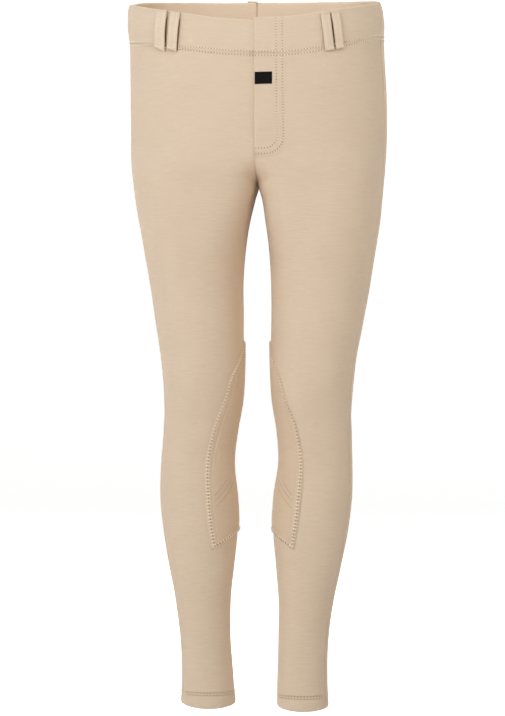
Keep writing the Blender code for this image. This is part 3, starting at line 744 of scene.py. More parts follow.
def knee_patch(name, side):
    """Patch round the inside of the knee, across both panels, with an arched foot."""
    across = 2 * seam_shares(PATCH_COLUMNS) - 1
    down = np.linspace(0, 1, PATCH_ROWS + 1)[:, None] ** PATCH_ROWS_CLOSER
    heights = mix(PATCH_TOP, patch_foot(across), down)
    angles = patch_angle(across, heights)
    plain = cloth(side, angles, heights)
    along, fall = (lengths_along(plain, axis) for axis in (1, 0))
    to_edge = np.minimum.reduce([along, along[:, -1:] - along, fall, fall[-1:] - fall])
    hug = EDGE_SINK * (1 - ease(to_edge / EDGE_SINK_REACH))
    thin = rolled(to_edge, PATCH_WALL / 2)
    sewn = INNER_SINK * bell(to_edge - LADDER_INNER, INNER_REACH)
    sewn = sewn + OUTER_SINK * bell(to_edge - PATCH_OUTER, OUTER_REACH)
    lift = PATCH_GAP + PATCH_WALL - hug - thin - sewn - quilted(angles, heights)
    outer = cloth(side, angles, heights, lift)
    inner = cloth(side, angles, heights, PATCH_GAP - hug + thin - PATCH_THICKER)
    return shell(name, outer, inner, cut_place(along, heights), PATCH_KNIT_PAINTED_SHADE)


LOOP_RIM_SHARE = 0.14  # the band's rounded rim doesn't draw a loop in above this share of its height
LOOP_LENGTH, LOOP_END_ROLL, LOOP_END_THINNED = 44, 0.9, 0.75
LOOP_SQUARE, LOOP_NARROWED, LOOP_CROWN = 0.45, 0.02, 0.2
LOOP_ROW_AT, LOOP_ROW_REACH, LOOP_ROW_SINK = 0.5, 0.13, 0.15  # its rows of stitching, in half widths


def loop_frame(loop, share):
    """Middle line of a belt loop, its ways across and out of the band, and its bow."""
    bow = read(LOOP_BOW, "stand_off", share)
    turn = 90 + loop.turn_top + (loop.turn_foot - loop.turn_top) * share
    turn = turn - LOOP_STRAIGHTENED * np.sin(np.pi * share) * (loop.turn_foot > loop.turn_top)
    rim, seam = rim_and_seam(loop.side, turn)
    height = rim + loop.above_rim + (seam - LOOP_PAST_SEAM - rim - loop.above_rim) * share
    surface = band_surface(loop.side, turn, np.clip(height, seam, rim - LOOP_RIM_SHARE * (rim - seam)))
    middle = cloth(loop.side, turn, height, surface + bow + LAY_GAP + STRAP_WALL / 2)
    out = frame_of(loop.side, turn, height)[1]
    out[:, 2] = 0
    down = np.gradient(middle, axis=0)
    across = unit(np.cross(out, down))
    return middle, across, unit(np.cross(down, across)), bow


def belt_loop(name, loop):
    """Strap with folded edges, bowed off the band, with its ends turned under."""
    share = np.linspace(0, 1, LOOP_ROWS + 1)
    middle, across, thick, bow = loop_frame(loop, share)
    from_end = np.minimum(share, 1 - share)
    under = bow * (1 - ease(from_end / LOOP_TURNED))
    turn = np.linspace(0, 2 * np.pi, LOOP_SIDES, endpoint=False) + np.pi / LOOP_SIDES
    wide, deep = (power(wave, LOOP_SQUARE) for wave in (np.cos(turn), np.sin(turn)))
    sunk = LOOP_ROW_SINK * bell(np.abs(wide) - LOOP_ROW_AT, LOOP_ROW_REACH)
    crown = (LOOP_CROWN * (1 - wide**2) - sunk) * (deep > 0)
    narrow = 1 - LOOP_NARROWED * np.sin(np.pi * share)
    ends = 1 - LOOP_END_THINNED * rolled(from_end * LOOP_LENGTH, LOOP_END_ROLL)[:, None] / LOOP_END_ROLL
    rings = middle[:, None] + (loop.width / 2 * wide * narrow[:, None])[..., None] * across[:, None]
    deeper = (STRAP_WALL / 2 * deep + crown)[None] * ends - under[:, None] * (deep < 0)
    rings = rings + deeper[..., None] * thick[:, None]
    rings[..., 2] -= loop.lean * (share**2)[:, None] * loop.width / 2 * wide
    around = np.concatenate([[0], np.cumsum(np.abs(np.diff(wide)) * loop.width / 2)])
    uv = np.stack(np.broadcast_arrays(around[None], lengths_along(middle, 0)[:, None]), axis=-1)
    return ring_shell(name, rings, uv, LOOP_KNIT)


# ---------------------------------------------------------------- sewing
TOPSTITCH, COVERSTITCH, HEM_STITCH, FINE_STITCH, LADDER_RUNG, QUILT_STITCH = table(
    "pitch length width rise hole",
    (3.1, 2.0, 0.75, 0.4, 1.0),
    (3.3, 2.2, 1.1, 0.55, 1.0),
    (3.6, 2.2, 0.85, 0.4, 1.6),
    (2.6, 1.6, 0.5, 0.25, 1.1),
    (3.8, 5.4, 1.3, 0.35, 1.15),
    (1.7, 0.8, 0.2, 0.05, 0.75),
)
THREAD_SIDES, THREAD_RINGS = 6, 7
THREAD_TAPER, THREAD_THINNEST, THREAD_FLAT, THREAD_DIVE = 0.85, 0.08, 0.75, 0.35
HOLE_SIDES, HOLE_LENGTH, HOLE_WIDTH, HOLE_RISE, HOLE_OFF = 8, 1.2, 0.95, 0.07, 0.04
ASIDE_WOBBLE, TURN_WOBBLE = 0.05, 0.035  # unevenness of the stitches: in thread widths, and as a slope
WAY_STEP = 0.4  # the way along a line is taken over this distance each way
CHANCE = np.random.default_rng(7)
# the second place holds the painted shade of needle holes and of the gaps under belt loops
STITCH, PAINTED_SHADE_PLACE = 0, 1  # places in the list of the sewing's materials


def thread_template(thread):
    """One stitch: a bent capsule along its first axis, that dives into the cloth at both ends."""
    along = np.linspace(-1, 1, THREAD_RINGS)
    radius = thread.width / 2 * np.sqrt(np.clip(1 - THREAD_TAPER * np.abs(along) ** 3, THREAD_THINNEST, 1))
    centre = thread.rise - (thread.rise + THREAD_DIVE) * np.abs(along) ** 3
    turn = np.linspace(0, 2 * np.pi, THREAD_SIDES, endpoint=False)
    points = [
        (a * thread.length / 2, r * np.cos(t), c + THREAD_FLAT * r * np.sin(t))
        for a, r, c in zip(along, radius, centre)
        for t in turn
    ]
    index = np.arange(THREAD_RINGS * THREAD_SIDES).reshape(THREAD_RINGS, THREAD_SIDES)
    halves, rings = ((0, 1, 2, 3), (3, 4, 5, 0)), (index[0][::-1], index[-1])
    ends = [[ring[i] for i in corners] for corners in halves for ring in rings]
    return np.array(points), np.concatenate([ring_faces(index), np.array(ends)])


def hole_template(size):
    """Needle hole: a flat lens on the cloth that carries the painted shade of the hole."""
    turn = np.linspace(0, 2 * np.pi, HOLE_SIDES, endpoint=False)
    long, wide = HOLE_LENGTH / 2 * size, HOLE_WIDTH / 2 * size
    ring = [(long * np.cos(t), wide * np.sin(t), 0.0) for t in turn]
    points = np.array(ring + [(0, 0, HOLE_RISE), (0, 0, -HOLE_RISE)])
    top, low = HOLE_SIDES, HOLE_SIDES + 1
    faces = []
    for i in range(0, HOLE_SIDES, 2):
        j, k = (i + 1) % HOLE_SIDES, (i + 2) % HOLE_SIDES
        faces += [[i, j, k, top], [k, j, i, low]]
    return points, np.array(faces)


def along_line(line, out, run, at):
    """Points, ways along and ways out at distances along a line."""
    centre, normal, ahead, back = (
        np.stack([np.interp(places, run, values[:, i]) for i in range(3)], axis=1)
        for places, values in ((at, line), (at, out), (at + WAY_STEP, line), (at - WAY_STEP, line))
    )
    return centre, unit(ahead - back), unit(normal)


class Sewing:
    """Gathers stitches and the painted shade of needle holes and of gaps into one piece."""

    def __init__(self):
        self.points, self.faces, self.finish, self.uv, self.count = [], [], [], [], 0

    def gather(self, points, faces, finish, uv):
        self.points.append(points)
        self.faces.append(faces)
        self.finish.append(np.full(len(faces), finish))
        self.uv.append(uv)
        self.count += len(points)

    def add(self, template, centre, along, out, finish, stretch):
        """Copies of a template at points of a line, along it and out of the cloth."""
        points, faces = template
        across = unit(np.cross(out, along))
        axes = np.stack([along * stretch[:, None], across, np.cross(along, across)], axis=1)
        placed = centre[:, None] + np.einsum("pa,nax->npx", points, axes)
        n, p = len(centre), len(points)
        shift = self.count + np.arange(n)[:, None, None] * p
        placed, faces = placed.reshape(-1, 3), (faces[None] + shift).reshape(-1, 4)
        self.gather(placed, faces, finish, np.tile(points[:, :2], (n, 1)))

    def row(self, thread, line, out, holes=True, across=False, stretch=None):
        """Stitches along a line of points with their ways out; across lays each one over the line.

        stretch gives the length of the stitches at each point of the line, in lengths of the thread's stitch.
        """
        stretch = np.ones(len(line)) if stretch is None else stretch
        run = lengths_along(line, 0)
        count = max(int(run[-1] / thread.pitch), 1)
        at = (np.arange(count) + 0.5) * run[-1] / count
        centre, way, normal = along_line(line, out, run, at)
        if across:
            way = np.cross(normal, way)
        wobble = CHANCE.normal(0, 1, (count, 3))
        centre = centre + ASIDE_WOBBLE * thread.width * wobble[:, :1] * np.cross(normal, way)
        way = unit(way + TURN_WOBBLE * wobble[:, 1:2] * np.cross(normal, way))
        self.add(thread_template(thread), centre, way, normal, STITCH, np.interp(at, run, stretch))
        if holes:
            at = np.arange(count + 1) * run[-1] / count
            centre, way, normal = along_line(line, out, run, at)
            hole = hole_template(thread.hole)
            self.add(hole, centre + HOLE_OFF * normal, way, normal, PAINTED_SHADE_PLACE, np.interp(at, run, stretch))

    def on_cloth(self, thread, side, angle, height, lift, **ways):
        """Stitches along a line on the cloth of one half."""
        angle, height, lift = np.broadcast_arrays(angle, height, lift)
        line = cloth(side, angle, height, lift)
        self.row(thread, line, frame_of(side, angle, height)[1], **ways)

    def strip(self, top, low):
        """Thin ribbon of painted shade between two grids of points, two across."""
        count = len(top)
        a = self.count + 2 * np.arange(count - 1)
        b = a + 2 * count
        broad = (a, a + 1, a + 3, a + 2), (b, b + 2, b + 3, b + 1)
        narrow = (a, a + 2, b + 2, b), (a + 1, b + 1, b + 3, a + 3)
        points = np.concatenate([top.reshape(-1, 3), low.reshape(-1, 3)])
        faces = np.concatenate([np.stack(corners, axis=1) for corners in broad + narrow])
        self.gather(points, faces, PAINTED_SHADE_PLACE, points[:, [0, 2]])

    def finish_as(self, name):
        gathered = self.points, self.faces, self.uv, self.finish
        points, faces, uv, finish = (np.concatenate(parts) for parts in gathered)
        make_object(name, points, faces, uv, [THREAD, PAINTED_SHADE], finish.astype(np.int32))


LINE_POINTS, ROW_POINTS, QUILT_POINTS = 500, 60, 30  # of a line round the waist or a hem, and of short rows
COVER_ASIDE = 2.15  # the rows are this far above and below the waistband's seam
OFF_CENTRE = 0.3  # they start and end this many degrees from the middle


def sewn_band():
    """Two rows round the waist, one on the band and one on the panels under it."""
    sewing = Sewing()
    for side in WORDS:
        angle = np.linspace(90 + OFF_CENTRE, 270 - OFF_CENTRE, LINE_POINTS)
        seam = waist_height(side, angle, "seam")
        above, below = seam + COVER_ASIDE, seam - COVER_ASIDE
        sewing.on_cloth(COVERSTITCH, side, angle, above, band_surface(side, angle, above))
        lift = 0 * angle
        if side == LEFT:
            x = section_point(side, angle, seam)[:, 0]
            on_flap = (x < FLY_WIDTH) & (angle < 180)
            lift = np.where(on_flap, np.maximum(fly_lift(np.minimum(x, FLY_WIDTH), below), 0), 0)
        sewing.on_cloth(COVERSTITCH, side, angle, below, lift)
    sewing.finish_as("stitches_waistband")


BAND_MIDDLE = -40.0  # height near the middle of the band in front
BELOW_RIM, ABOVE_SEAM, J_SUNK = 2.0, 4.2, 0.2  # where the fly's rows run on the band and flap


def sewn_fly():
    """Two rows through the band and down the flap, curved to the centre at its foot."""
    sewing = Sewing()
    for row in J_ROWS:
        rim, seam = rim_and_seam(LEFT, front_angle(row.across, BAND_MIDDLE))
        height = np.linspace(rim - BELOW_RIM, seam + ABOVE_SEAM, ROW_POINTS)
        angle = front_angle(row.across - J_SLANT * (height - row.foot), height)
        sewing.on_cloth(TOPSTITCH, LEFT, angle, height, band_surface(LEFT, angle, height))
        x, height = j_line(row)
        lift = np.maximum(fly_lift(x, height), 0) - J_SUNK
        sewing.on_cloth(TOPSTITCH, LEFT, front_angle(x, height), height, lift)
    sewing.finish_as("stitches_fly")


HEM_ROWS_SEWN = table("above lift", (0.0, -0.1), (3.0, 0.15))


def sewn_hems():
    """Two rows round each hem."""
    sewing = Sewing()
    for side in WORDS:
        angle = np.linspace(0, 360, LINE_POINTS)
        for row in HEM_ROWS_SEWN:
            sewing.on_cloth(HEM_STITCH, side, angle, HEMS[side].stitch + row.above, row.lift)
    sewing.finish_as("stitches_hems")


TAPERED, TAPER_FROM, TAPER_RISE = 0.78, -525, 85
FOOT_CLOSER = 0.75  # the rows stand closer together along a patch's foot
EDGE_POINTS, FOOT_POINTS = 200, 118
EDGE_FROM, LEAST_RADIUS = 0.012, 0.5  # share down where the rows start, and their least radius there
RUNG_SUNK, INNER_SUNK, QUILT_SUNK = 0.02, 0.55, 0.12  # how deep the threads lie under the patch's face
OUTER_INSET, OUTER_LIFT = 0.45, 0.3


def taper(height):
    """How much of their width the rows of a patch keep towards its pointed top."""
    return 1 - TAPERED * ease((height - TAPER_FROM) / TAPER_RISE)


def patch_edge_line(inset):
    """Line round the front, foot and back edges of a patch, a distance in from its edge."""
    down = np.linspace(EDGE_FROM, 1, EDGE_POINTS)
    ends = np.ones(EDGE_POINTS)
    across = np.concatenate([ends, np.linspace(1, -1, FOOT_POINTS + 2)[1:-1], -ends])
    down = np.concatenate([down, np.ones(FOOT_POINTS), down[::-1]])
    on_foot = (np.arange(len(down)) >= EDGE_POINTS) & (np.arange(len(down)) < EDGE_POINTS + FOOT_POINTS)
    height = mix(PATCH_TOP, patch_foot(across), down)
    radius = read(PATCH, "spread", height) * np.pi / 180 * FOLD_RADIUS
    inset = inset * taper(height) * np.where(on_foot, FOOT_CLOSER, 1)
    height = np.where(on_foot, height + inset, np.maximum(height, patch_foot(across) + inset))
    narrower = np.clip(1 - inset / np.maximum(radius, inset + LEAST_RADIUS), 0, 1)
    across = np.where(on_foot, np.clip(across, -narrower, narrower), across * narrower)
    return patch_angle(across, height), height, on_foot


def sewn_patch(name, side):
    """Chunky ladder stitches over a patch's edge, with a fine row outside and another inside them."""
    sewing = Sewing()
    face = PATCH_GAP + PATCH_WALL
    angle, height, on_foot = patch_edge_line(LADDER_MIDDLE)
    shorter = taper(height) * np.where(on_foot, FOOT_CLOSER, 1)
    sewing.on_cloth(LADDER_RUNG, side, angle, height, face - RUNG_SUNK, across=True, stretch=shorter)
    angle, height, on_foot = patch_edge_line(LADDER_INNER)
    sewing.on_cloth(FINE_STITCH, side, angle, height, face - INNER_SUNK)
    for line in QUILTS:
        turn, height = (np.linspace(a, b, QUILT_POINTS) for a, b in zip(line[:2], line[2:]))
        sewing.on_cloth(QUILT_STITCH, side, turn, height, face - QUILT_SUNK)
    angle, height, on_foot = patch_edge_line(OUTER_INSET)
    sewing.on_cloth(FINE_STITCH, side, angle, height, OUTER_LIFT, holes=False)
    sewing.finish_as(name)


SLIT_FROM, SLIT_TO, SLIT_PAST_EDGE = 0.15, 0.96, 0.4  # where the shade under a loop's edge starts and ends
SLIT_OFF, SLIT_THICK, SLIT_POINTED, SLIT_POINTS = 0.12, 0.08, 0.4, 40
LOOP_ROW_FROM, LOOP_ROW_SUNK = 0.03, 0.1
BAR_RAISED, BAR_REACH, BAR_POINTS, BAR_AT = 0.05, 0.42, 12, 3  # a bar is at this point from a row's end


def loop_slit(sewing, loop):
    """Shade in the gap under that edge of a belt loop which the camera looks under."""
    share = np.linspace(SLIT_FROM, SLIT_TO, SLIT_POINTS)
    middle, across, thick, bow = loop_frame(loop, share)
    under = middle - (bow + LAY_GAP + STRAP_WALL / 2 - SLIT_OFF)[:, None] * thick
    narrow = np.sin(np.pi * (share - SLIT_FROM) / (SLIT_TO - SLIT_FROM)) ** SLIT_POINTED
    edge = -loop.side * (loop.width / 2 + SLIT_PAST_EDGE * narrow)
    rows = [under + (edge + loop.side * wide * narrow)[:, None] * across for wide in (0.0, loop.shade)]
    top = np.stack(rows, axis=1)
    sewing.strip(top, top - SLIT_THICK * thick[:, None])


def sewn_loops():
    """Two rows down each belt loop, a bar across its ends and the shade in the gap under it."""
    sewing = Sewing()
    for loop in LOOPS:
        if loop.shade > 0:
            loop_slit(sewing, loop)
    for loop in LOOPS:
        share = np.linspace(LOOP_ROW_FROM, 1 - LOOP_ROW_FROM, ROW_POINTS)
        middle, across, thick, bow = loop_frame(loop, share)
        for aside in (-LOOP_ROW_AT, LOOP_ROW_AT):
            line = middle + aside * loop.width / 2 * across + (STRAP_WALL / 2 - LOOP_ROW_SUNK) * thick
            sewing.row(FINE_STITCH, line, thick, holes=False)
        for end in (BAR_AT, -BAR_AT):
            span = np.linspace(-BAR_REACH, BAR_REACH, BAR_POINTS)[:, None] * loop.width
            line = middle[end] + span * across[end] + (STRAP_WALL / 2 + BAR_RAISED) * thick[end]
            sewing.row(FINE_STITCH, line, np.tile(thick[end], (BAR_POINTS, 1)), holes=False)
    sewing.finish_as("stitches_loops")


# ---------------------------------------------------------------- materials
def fill(node, values):
    """Sets inputs of a node by their names."""
    for name, value in values.items():
        node.inputs[name].default_value = value


def new_material(name, colour, roughness):
    material = bpy.data.materials.new(name)
    material.use_nodes = True
    shader = material.node_tree.nodes["Principled BSDF"]
    fill(shader, {"Base Color": (*colour, 1), "Roughness": roughness})
    return material, shader


class Nodes:
    """Short names for the nodes that the materials are made of."""

    def __init__(self, owner):
        self.tree = owner.node_tree

    def node(self, kind, **settings):
        made = self.tree.nodes.new(kind)
        for key, value in settings.items():
            setattr(made, key, value)
        return made

    def link(self, source, target):
        self.tree.links.new(source, target)

    def value(self, socket, source):
        if isinstance(source, (int, float)):
            socket.default_value = source
        else:
            self.link(source, socket)

    def math(self, operation, a, b=0.0):
        made = self.node("ShaderNodeMath", operation=operation)
        self.value(made.inputs[0], a)
        self.value(made.inputs[1], b)
        return made.outputs[0]

    def scaled_cut(self, across, along):
        """Place on the flat cut, in repeats of a pattern of so many millimetres across and along."""
        cut = self.node("ShaderNodeUVMap", uv_map="cut")
        scale = self.node("ShaderNodeMapping")
        fill(scale, {"Scale": (1 / (across * MM), 1 / (along * MM), 1)})
        self.link(cut.outputs[0], scale.inputs["Vector"])
        return scale.outputs[0]

    def noise(self, vector, detail=2.0, roughness=0.6):
        made = self.node("ShaderNodeTexNoise", noise_dimensions="2D")
        fill(made, {"Scale": 1.0, "Detail": detail, "Roughness": roughness})
        self.link(vector, made.inputs["Vector"])
        return made.outputs["Fac"]

    def axis(self, vector, number):
        split = self.node("ShaderNodeSeparateXYZ")
        self.link(vector, split.inputs[0])
        return split.outputs[number]

    def wave(self, vector, number):
        """Sine from -1 to 1 along one axis of a scaled place."""
        return self.math("SINE", self.math("MULTIPLY", self.axis(vector, number), 2 * np.pi))

    def ramp(self, factor, stops):
        made = self.node("ShaderNodeValToRGB")
        elements = made.color_ramp.elements
        elements[0].position, elements[0].color = stops[0][0], (*stops[0][1], 1)
        elements[1].position, elements[1].color = stops[-1][0], (*stops[-1][1], 1)
        for place, colour in stops[1:-1]:
            elements.new(place).color = (*colour, 1)
        self.link(factor, made.inputs[0])
        return made.outputs[0]

    def times(self, a, b):
        """One colour multiplied by another."""
        made = self.node("ShaderNodeMix", data_type="RGBA", blend_type="MULTIPLY")
        fill(made, {"Factor": 1.0})
        self.link(a, made.inputs[6])
        self.link(b, made.inputs[7])
        return made.outputs[2]

    def fibres(self, shader, across, along, dark, light):
        """Colours the surface between two colours, by fine noise."""
        noise = self.noise(self.scaled_cut(across, along))
        self.link(self.ramp(noise, ((0.3, dark), (0.7, light))), shader.inputs["Base Color"])

    def bump(self, shader, height, strength, distance):
        """Raises the surface by a height, up to a distance in millimetres."""
        made = self.node("ShaderNodeBump")
        fill(made, {"Strength": strength, "Distance": distance * MM})
        self.link(height, made.inputs["Height"])
        self.link(made.outputs[0], shader.inputs["Normal"])


KNIT_COLOUR, THREAD_COLOUR = (0.685, 0.532, 0.393), (0.86, 0.735, 0.575)


def grey(level):
    return (level, level, level)


def shaded(colour, factor):
    return tuple(c * f for c, f in zip(colour, factor))


# The knit's colour: streaks along the courses, threads in them and slow clouds, by repeat in millimetres
STREAKS, THREADS, CLOUDS = (22, 1.5), (9, 0.75), (55, 40)
STREAK_LIGHT, STREAK_DARK = (1.02, 1.018, 1.016), (0.976, 0.973, 0.97)
THREAD_STOPS = ((0.25, grey(0.972)), (0.75, grey(1.02)))
CLOUD_STOPS = ((0.3, (0.985, 0.98, 0.975)), (0.7, (1.01, 1.012, 1.015)))
# Painted light on the waistband: a painted highlight from just under the rim and painted light over its
# inside, by the cut's height from the rim in repeats of millimetres
PAINTED_LIGHT_STOPS = ((0.26, grey(1.0)), (0.4, grey(1.1)), (0.46, grey(1.28)))
PAINTED_LIGHT_REPEAT, PAINTED_LIGHT_MIDDLE = 10.0, 0.5
WALE_RELIEF, COURSE_RELIEF, THREAD_RELIEF, STREAK_RELIEF = 0.5, 0.35, 1.6, 1.2
KNIT_BUMP, KNIT_BUMP_HEIGHT = 0.35, 0.12
KNIT_ROUGHNESS = {"To Min": 0.8, "To Max": 0.95}
NAP = {
    "Sheen Weight": 0.1,
    "Sheen Roughness": 0.55,
    "Sheen Tint": (1.0, 0.96, 0.9, 1),
    "Specular IOR Level": 0.2,
}


def knit_material(name, colour, wale=0.85, course=0.7, painted_light_inside=False):
    """Fine jersey: space-dyed streaks along the courses, tiny loops, soft nap.

    When asked, painted light makes the cloth lighter from the middle of its cut (the fold at the rim) up: a
    painted highlight along the outside of the rim and painted light over the band's inside.
    """
    material, shader = new_material(name, colour, roughness=0.88)
    n = Nodes(material)
    streaks = n.noise(n.scaled_cut(*STREAKS), detail=3.0)
    threads = n.noise(n.scaled_cut(*THREADS))
    clouds = n.noise(n.scaled_cut(*CLOUDS), detail=3.0, roughness=0.55)
    light, dark = shaded(colour, STREAK_LIGHT), shaded(colour, STREAK_DARK)
    base = n.ramp(streaks, ((0.3, dark), (0.5, colour), (0.7, light)))
    base = n.times(base, n.ramp(threads, THREAD_STOPS))
    base = n.times(base, n.ramp(clouds, CLOUD_STOPS))
    # painted highlight along the rim and painted light inside the band
    if painted_light_inside:
        up = n.axis(n.scaled_cut(1.0, PAINTED_LIGHT_REPEAT), 1)
        base = n.times(base, n.ramp(n.math("ADD", up, PAINTED_LIGHT_MIDDLE), PAINTED_LIGHT_STOPS))
    n.link(base, shader.inputs["Base Color"])
    place = n.scaled_cut(wale, course)
    height = n.math("MULTIPLY", n.wave(place, 0), WALE_RELIEF)
    reliefs = (n.wave(place, 1), COURSE_RELIEF), (threads, THREAD_RELIEF), (streaks, STREAK_RELIEF)
    for source, relief in reliefs:
        height = n.math("ADD", height, n.math("MULTIPLY", source, relief))
    n.bump(shader, height, KNIT_BUMP, KNIT_BUMP_HEIGHT)
    rough = n.node("ShaderNodeMapRange")
    fill(rough, KNIT_ROUGHNESS)
    n.link(clouds, rough.inputs["Value"])
    n.link(rough.outputs[0], shader.inputs["Roughness"])
    fill(shader, NAP)
    return material


def thread_material():
    """Spun sewing thread: a twist along each stitch."""
    material, shader = new_material("sewing_thread", THREAD_COLOUR, roughness=0.7)
    n = Nodes(material)
    dark, light = shaded(THREAD_COLOUR, grey(0.9)), shaded(THREAD_COLOUR, grey(1.08))
    n.fibres(shader, across=0.8, along=0.3, dark=dark, light=light)
    n.bump(shader, n.wave(n.scaled_cut(across=0.55, along=1.1), 0), strength=0.5, distance=0.08)
    fill(shader, {"Sheen Weight": 0.15})
    return material


def painted_shade_material():
    """Painted shade: the shadow in a needle hole, and in the gap under a belt loop's edge."""
    material, shader = new_material("painted_shade", (0.27, 0.165, 0.095), roughness=0.95)
    dark, light = (0.23, 0.14, 0.08), (0.31, 0.19, 0.11)
    Nodes(material).fibres(shader, across=0.4, along=0.4, dark=dark, light=light)
    fill(shader, {"Specular IOR Level": 0.0})
    return material


def label_material():
    """Black satin-woven label, blank."""
    material, shader = new_material("label_weave", (0.007, 0.006, 0.006), roughness=0.7)
    n = Nodes(material)
    n.fibres(shader, across=2.5, along=0.5, dark=(0.005, 0.004, 0.004), light=(0.011, 0.009, 0.009))
    place = n.scaled_cut(across=0.45, along=0.5)
    height = n.math("ADD", n.wave(place, 0), n.wave(place, 1))
    n.bump(shader, height, strength=0.5, distance=0.1)
    fill(shader, {"Specular IOR Level": 0.04})
    return material


KNIT = knit_material("knit", KNIT_COLOUR)
# the waistband carries the painted highlight along its rim and painted light inside
BAND_KNIT = knit_material("waistband_knit", shaded(KNIT_COLOUR, (1.01, 1.01, 1.015)), painted_light_inside=True)
# The patches are of the same knit, painted darker and warmer: painted shade on the patches.
PATCH_KNIT_PAINTED_SHADE = knit_material("patch_knit", shaded(KNIT_COLOUR, (0.955, 0.925, 0.885)))
LOOP_KNIT = knit_material("loop_knit", shaded(KNIT_COLOUR, (1.05, 1.06, 1.08)), wale=0.8, course=0.8)
# painted shade for needle holes and the gaps under belt loops
THREAD, PAINTED_SHADE, LABEL_WEAVE = thread_material(), painted_shade_material(), label_material()

# ---------------------------------------------------------------- the garment
# Flat cut of what shows of each piece, in millimetres: width, length, and area where it isn't a rectangle
Cut = namedtuple("Cut", "width length area", defaults=[None])


def declare(piece, node):
    """Hides the solid that a piece stands for."""
    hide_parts(node)


def dress():
    waist_side = float(read(SIDE_SEAM, "angle", SIDE_SEAM_UPRIGHT_FROM))
    for side, word in WORDS.items():
        front = panel("cloth_front_" + word, side, front=True)
        declare(front, "front_" + word)
        back = panel("cloth_back_" + word, side, front=False)
        declare(back, "back_" + word)
        made = band("cloth_band_front_" + word, side, 90 if side == RIGHT else LAP_START, waist_side)
        declare(made, "band_front_" + word)
        made = band("cloth_band_back_" + word, side, waist_side, 270)
        declare(made, "band_back_" + word)
        made = knee_patch("cloth_knee_patch_" + word, side)
        declare(made, "knee_patch_" + word)
        sewn_patch("stitches_patch_" + word, side)
    flap = fly_flap("cloth_fly_flap")
    declare(flap, "fly_flap")
    declare(label("cloth_label"), "label")
    for loop in LOOPS:
        declare(belt_loop("cloth_" + loop.name, loop), loop.name)
    sewn_band()
    sewn_fly()
    sewn_hems()
    sewn_loops()


# ---------------------------------------------------------------- studio
CAMERA_TURN, CAMERA_DISTANCE, CAMERA_HEIGHT, CAMERA_SHIFT = 3.8, 3300.0, -389.8, -7.84
PIXELS_HIGH, FOCAL_PIXELS, SENSOR = 716, 2946, 36.0
SEEN_FROM, SEEN_TO = 0.1, 50  # metres from the camera
FLOOR_HEIGHT, FLOOR_WIDE = -840.0, 26000.0
FLOOR_COLOUR, FLOOR_GLOW = grey(0.93), 0.85
WALL_FAR, WALL_HIGH, CORNER_RADIUS = 8000.0, 12000.0, 2000.0  # the wall stands well behind any camera
CORNER_STEPS, WALL_STEPS = 24, 96
LIGHTS = table(
    "name x y z wide high power colour",
    ("key", -1500, -2600, 900, 1600, 1600, 29.5, (0.98, 1.0, 1.0)),
    ("fill", 2000, -2200, 500, 1500, 2000, 22, (1.0, 0.8, 0.62)),
    ("near_left", -1000, -1700, 800, 1100, 1100, 4, (0.3, 0.7, 1.0)),
    ("near_right", 700, -1800, 800, 1100, 1100, 11, (0.78, 0.94, 1.0)),
    ("above", -200, -2000, 2400, 1200, 900, 11, (1.0, 1.0, 1.0)),
    ("side_right", 2600, -300, 0, 1500, 2400, 17, (0.86, 0.96, 1.0)),
    ("side_left", -2400, -1500, 300, 1400, 2200, 14, (1.0, 0.98, 0.97)),
    ("back_left", -1700, 2300, 1300, 1600, 1600, 30, (1.0, 0.96, 0.92)),
    ("back_right", 1500, 2500, 1300, 1600, 1600, 34, (1.0, 0.96, 0.92)),
)
AIM = Vector((0, 0, -0.38))
# Ambient light from below (off the floor) and from the viewer's left: axis of the world and strength
AMBIENT = ((2, 1.0), (0, 0.58))
AMBIENT_COLOUR = (1.02, 1.0, 0.97, 1)


def place_in_scene(name, data):
    made = bpy.data.objects.new(name, data)
    bpy.context.scene.collection.objects.link(made)
    return made


def point_at(made, way):
    """Turns a camera or a light to look along a way."""
    made.rotation_mode = "QUATERNION"
    made.rotation_quaternion = way.to_track_quat("-Z", "Y")


def camera():
    data = bpy.data.cameras.new("camera")
    data.sensor_width = SENSOR
    data.lens = FOCAL_PIXELS / PIXELS_HIGH * SENSOR
    data.clip_start, data.clip_end = SEEN_FROM, SEEN_TO
    made = place_in_scene("camera", data)
    turn = np.radians(CAMERA_TURN)
    right = Vector((np.cos(turn), np.sin(turn), 0))
    ahead = Vector((-np.sin(turn), np.cos(turn), 0))
    made.location = (right * CAMERA_SHIFT - ahead * CAMERA_DISTANCE + Vector((0, 0, CAMERA_HEIGHT))) * MM
    point_at(made, ahead)
    bpy.context.scene.camera = made


def stage_piece(name, points, faces, material):
    """Piece of the studio: it is seen, but throws no light on the garment."""
    mesh = bpy.data.meshes.new(name)
    mesh.from_pydata((points * MM).tolist(), [], faces.tolist())
    mesh.shade_smooth()
    mesh.materials.append(material)
    made = place_in_scene(name, mesh)
    made.visible_diffuse = False
    return made


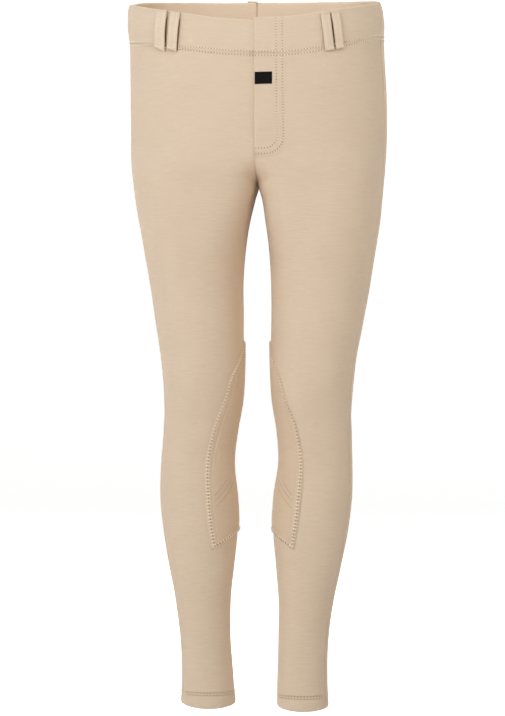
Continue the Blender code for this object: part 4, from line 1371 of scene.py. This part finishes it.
def backdrop():
    """Pale floor, and a pale wall all round that curves up from it."""
    material, shader = new_material("studio_floor", FLOOR_COLOUR, roughness=0.9)
    fill(shader, {"Emission Color": (1, 1, 1, 1), "Emission Strength": FLOOR_GLOW, "Specular IOR Level": 0.0})
    edge = np.array([-FLOOR_WIDE / 2, FLOOR_WIDE / 2])
    flat = np.stack(np.broadcast_arrays(edge[None], edge[:, None], FLOOR_HEIGHT), axis=-1).reshape(-1, 3)
    stage_piece("floor", flat, grid_faces(2, 2), material)
    rise = np.linspace(0, np.pi / 2, CORNER_STEPS)
    radius = np.append(WALL_FAR - CORNER_RADIUS * (1 - np.sin(rise)), WALL_FAR)[:, None]
    height = np.append(CORNER_RADIUS * (1 - np.cos(rise)), WALL_HIGH)[:, None] + FLOOR_HEIGHT
    round_it = np.linspace(0, 2 * np.pi, WALL_STEPS + 1)
    points = np.stack([radius * np.cos(round_it), radius * np.sin(round_it), height + 0 * round_it], axis=-1)
    wall = stage_piece("wall", points.reshape(-1, 3), grid_faces(*points.shape[:2]), material)
    wall.visible_shadow = False


def area_light(light):
    data = bpy.data.lights.new(light.name, "AREA")
    data.shape = "RECTANGLE"
    data.size, data.size_y = light.wide * MM, light.high * MM
    data.energy = light.power
    data.color = light.colour
    made = place_in_scene(light.name, data)
    made.location = Vector((light.x, light.y, light.z)) * MM
    point_at(made, AIM - made.location)


def ambient_light():
    """World that is brighter towards the floor and the viewer's left."""
    world = bpy.data.worlds.new("studio")
    world.use_nodes = True
    n = Nodes(world)
    way = n.node("ShaderNodeTexCoord").outputs["Generated"]
    total = 0.0
    for axis, strength in AMBIENT:
        lobe = n.math("MAXIMUM", n.math("MULTIPLY", n.axis(way, axis), -strength), 0.0)
        total = n.math("ADD", lobe, total)
    background = world.node_tree.nodes["Background"]
    background.inputs[0].default_value = AMBIENT_COLOUR
    n.link(total, background.inputs[1])
    bpy.context.scene.world = world


camera()
dress()
backdrop()
for studio_light in LIGHTS:
    area_light(studio_light)
ambient_light()
bpy.context.scene.view_settings.view_transform = "Standard"
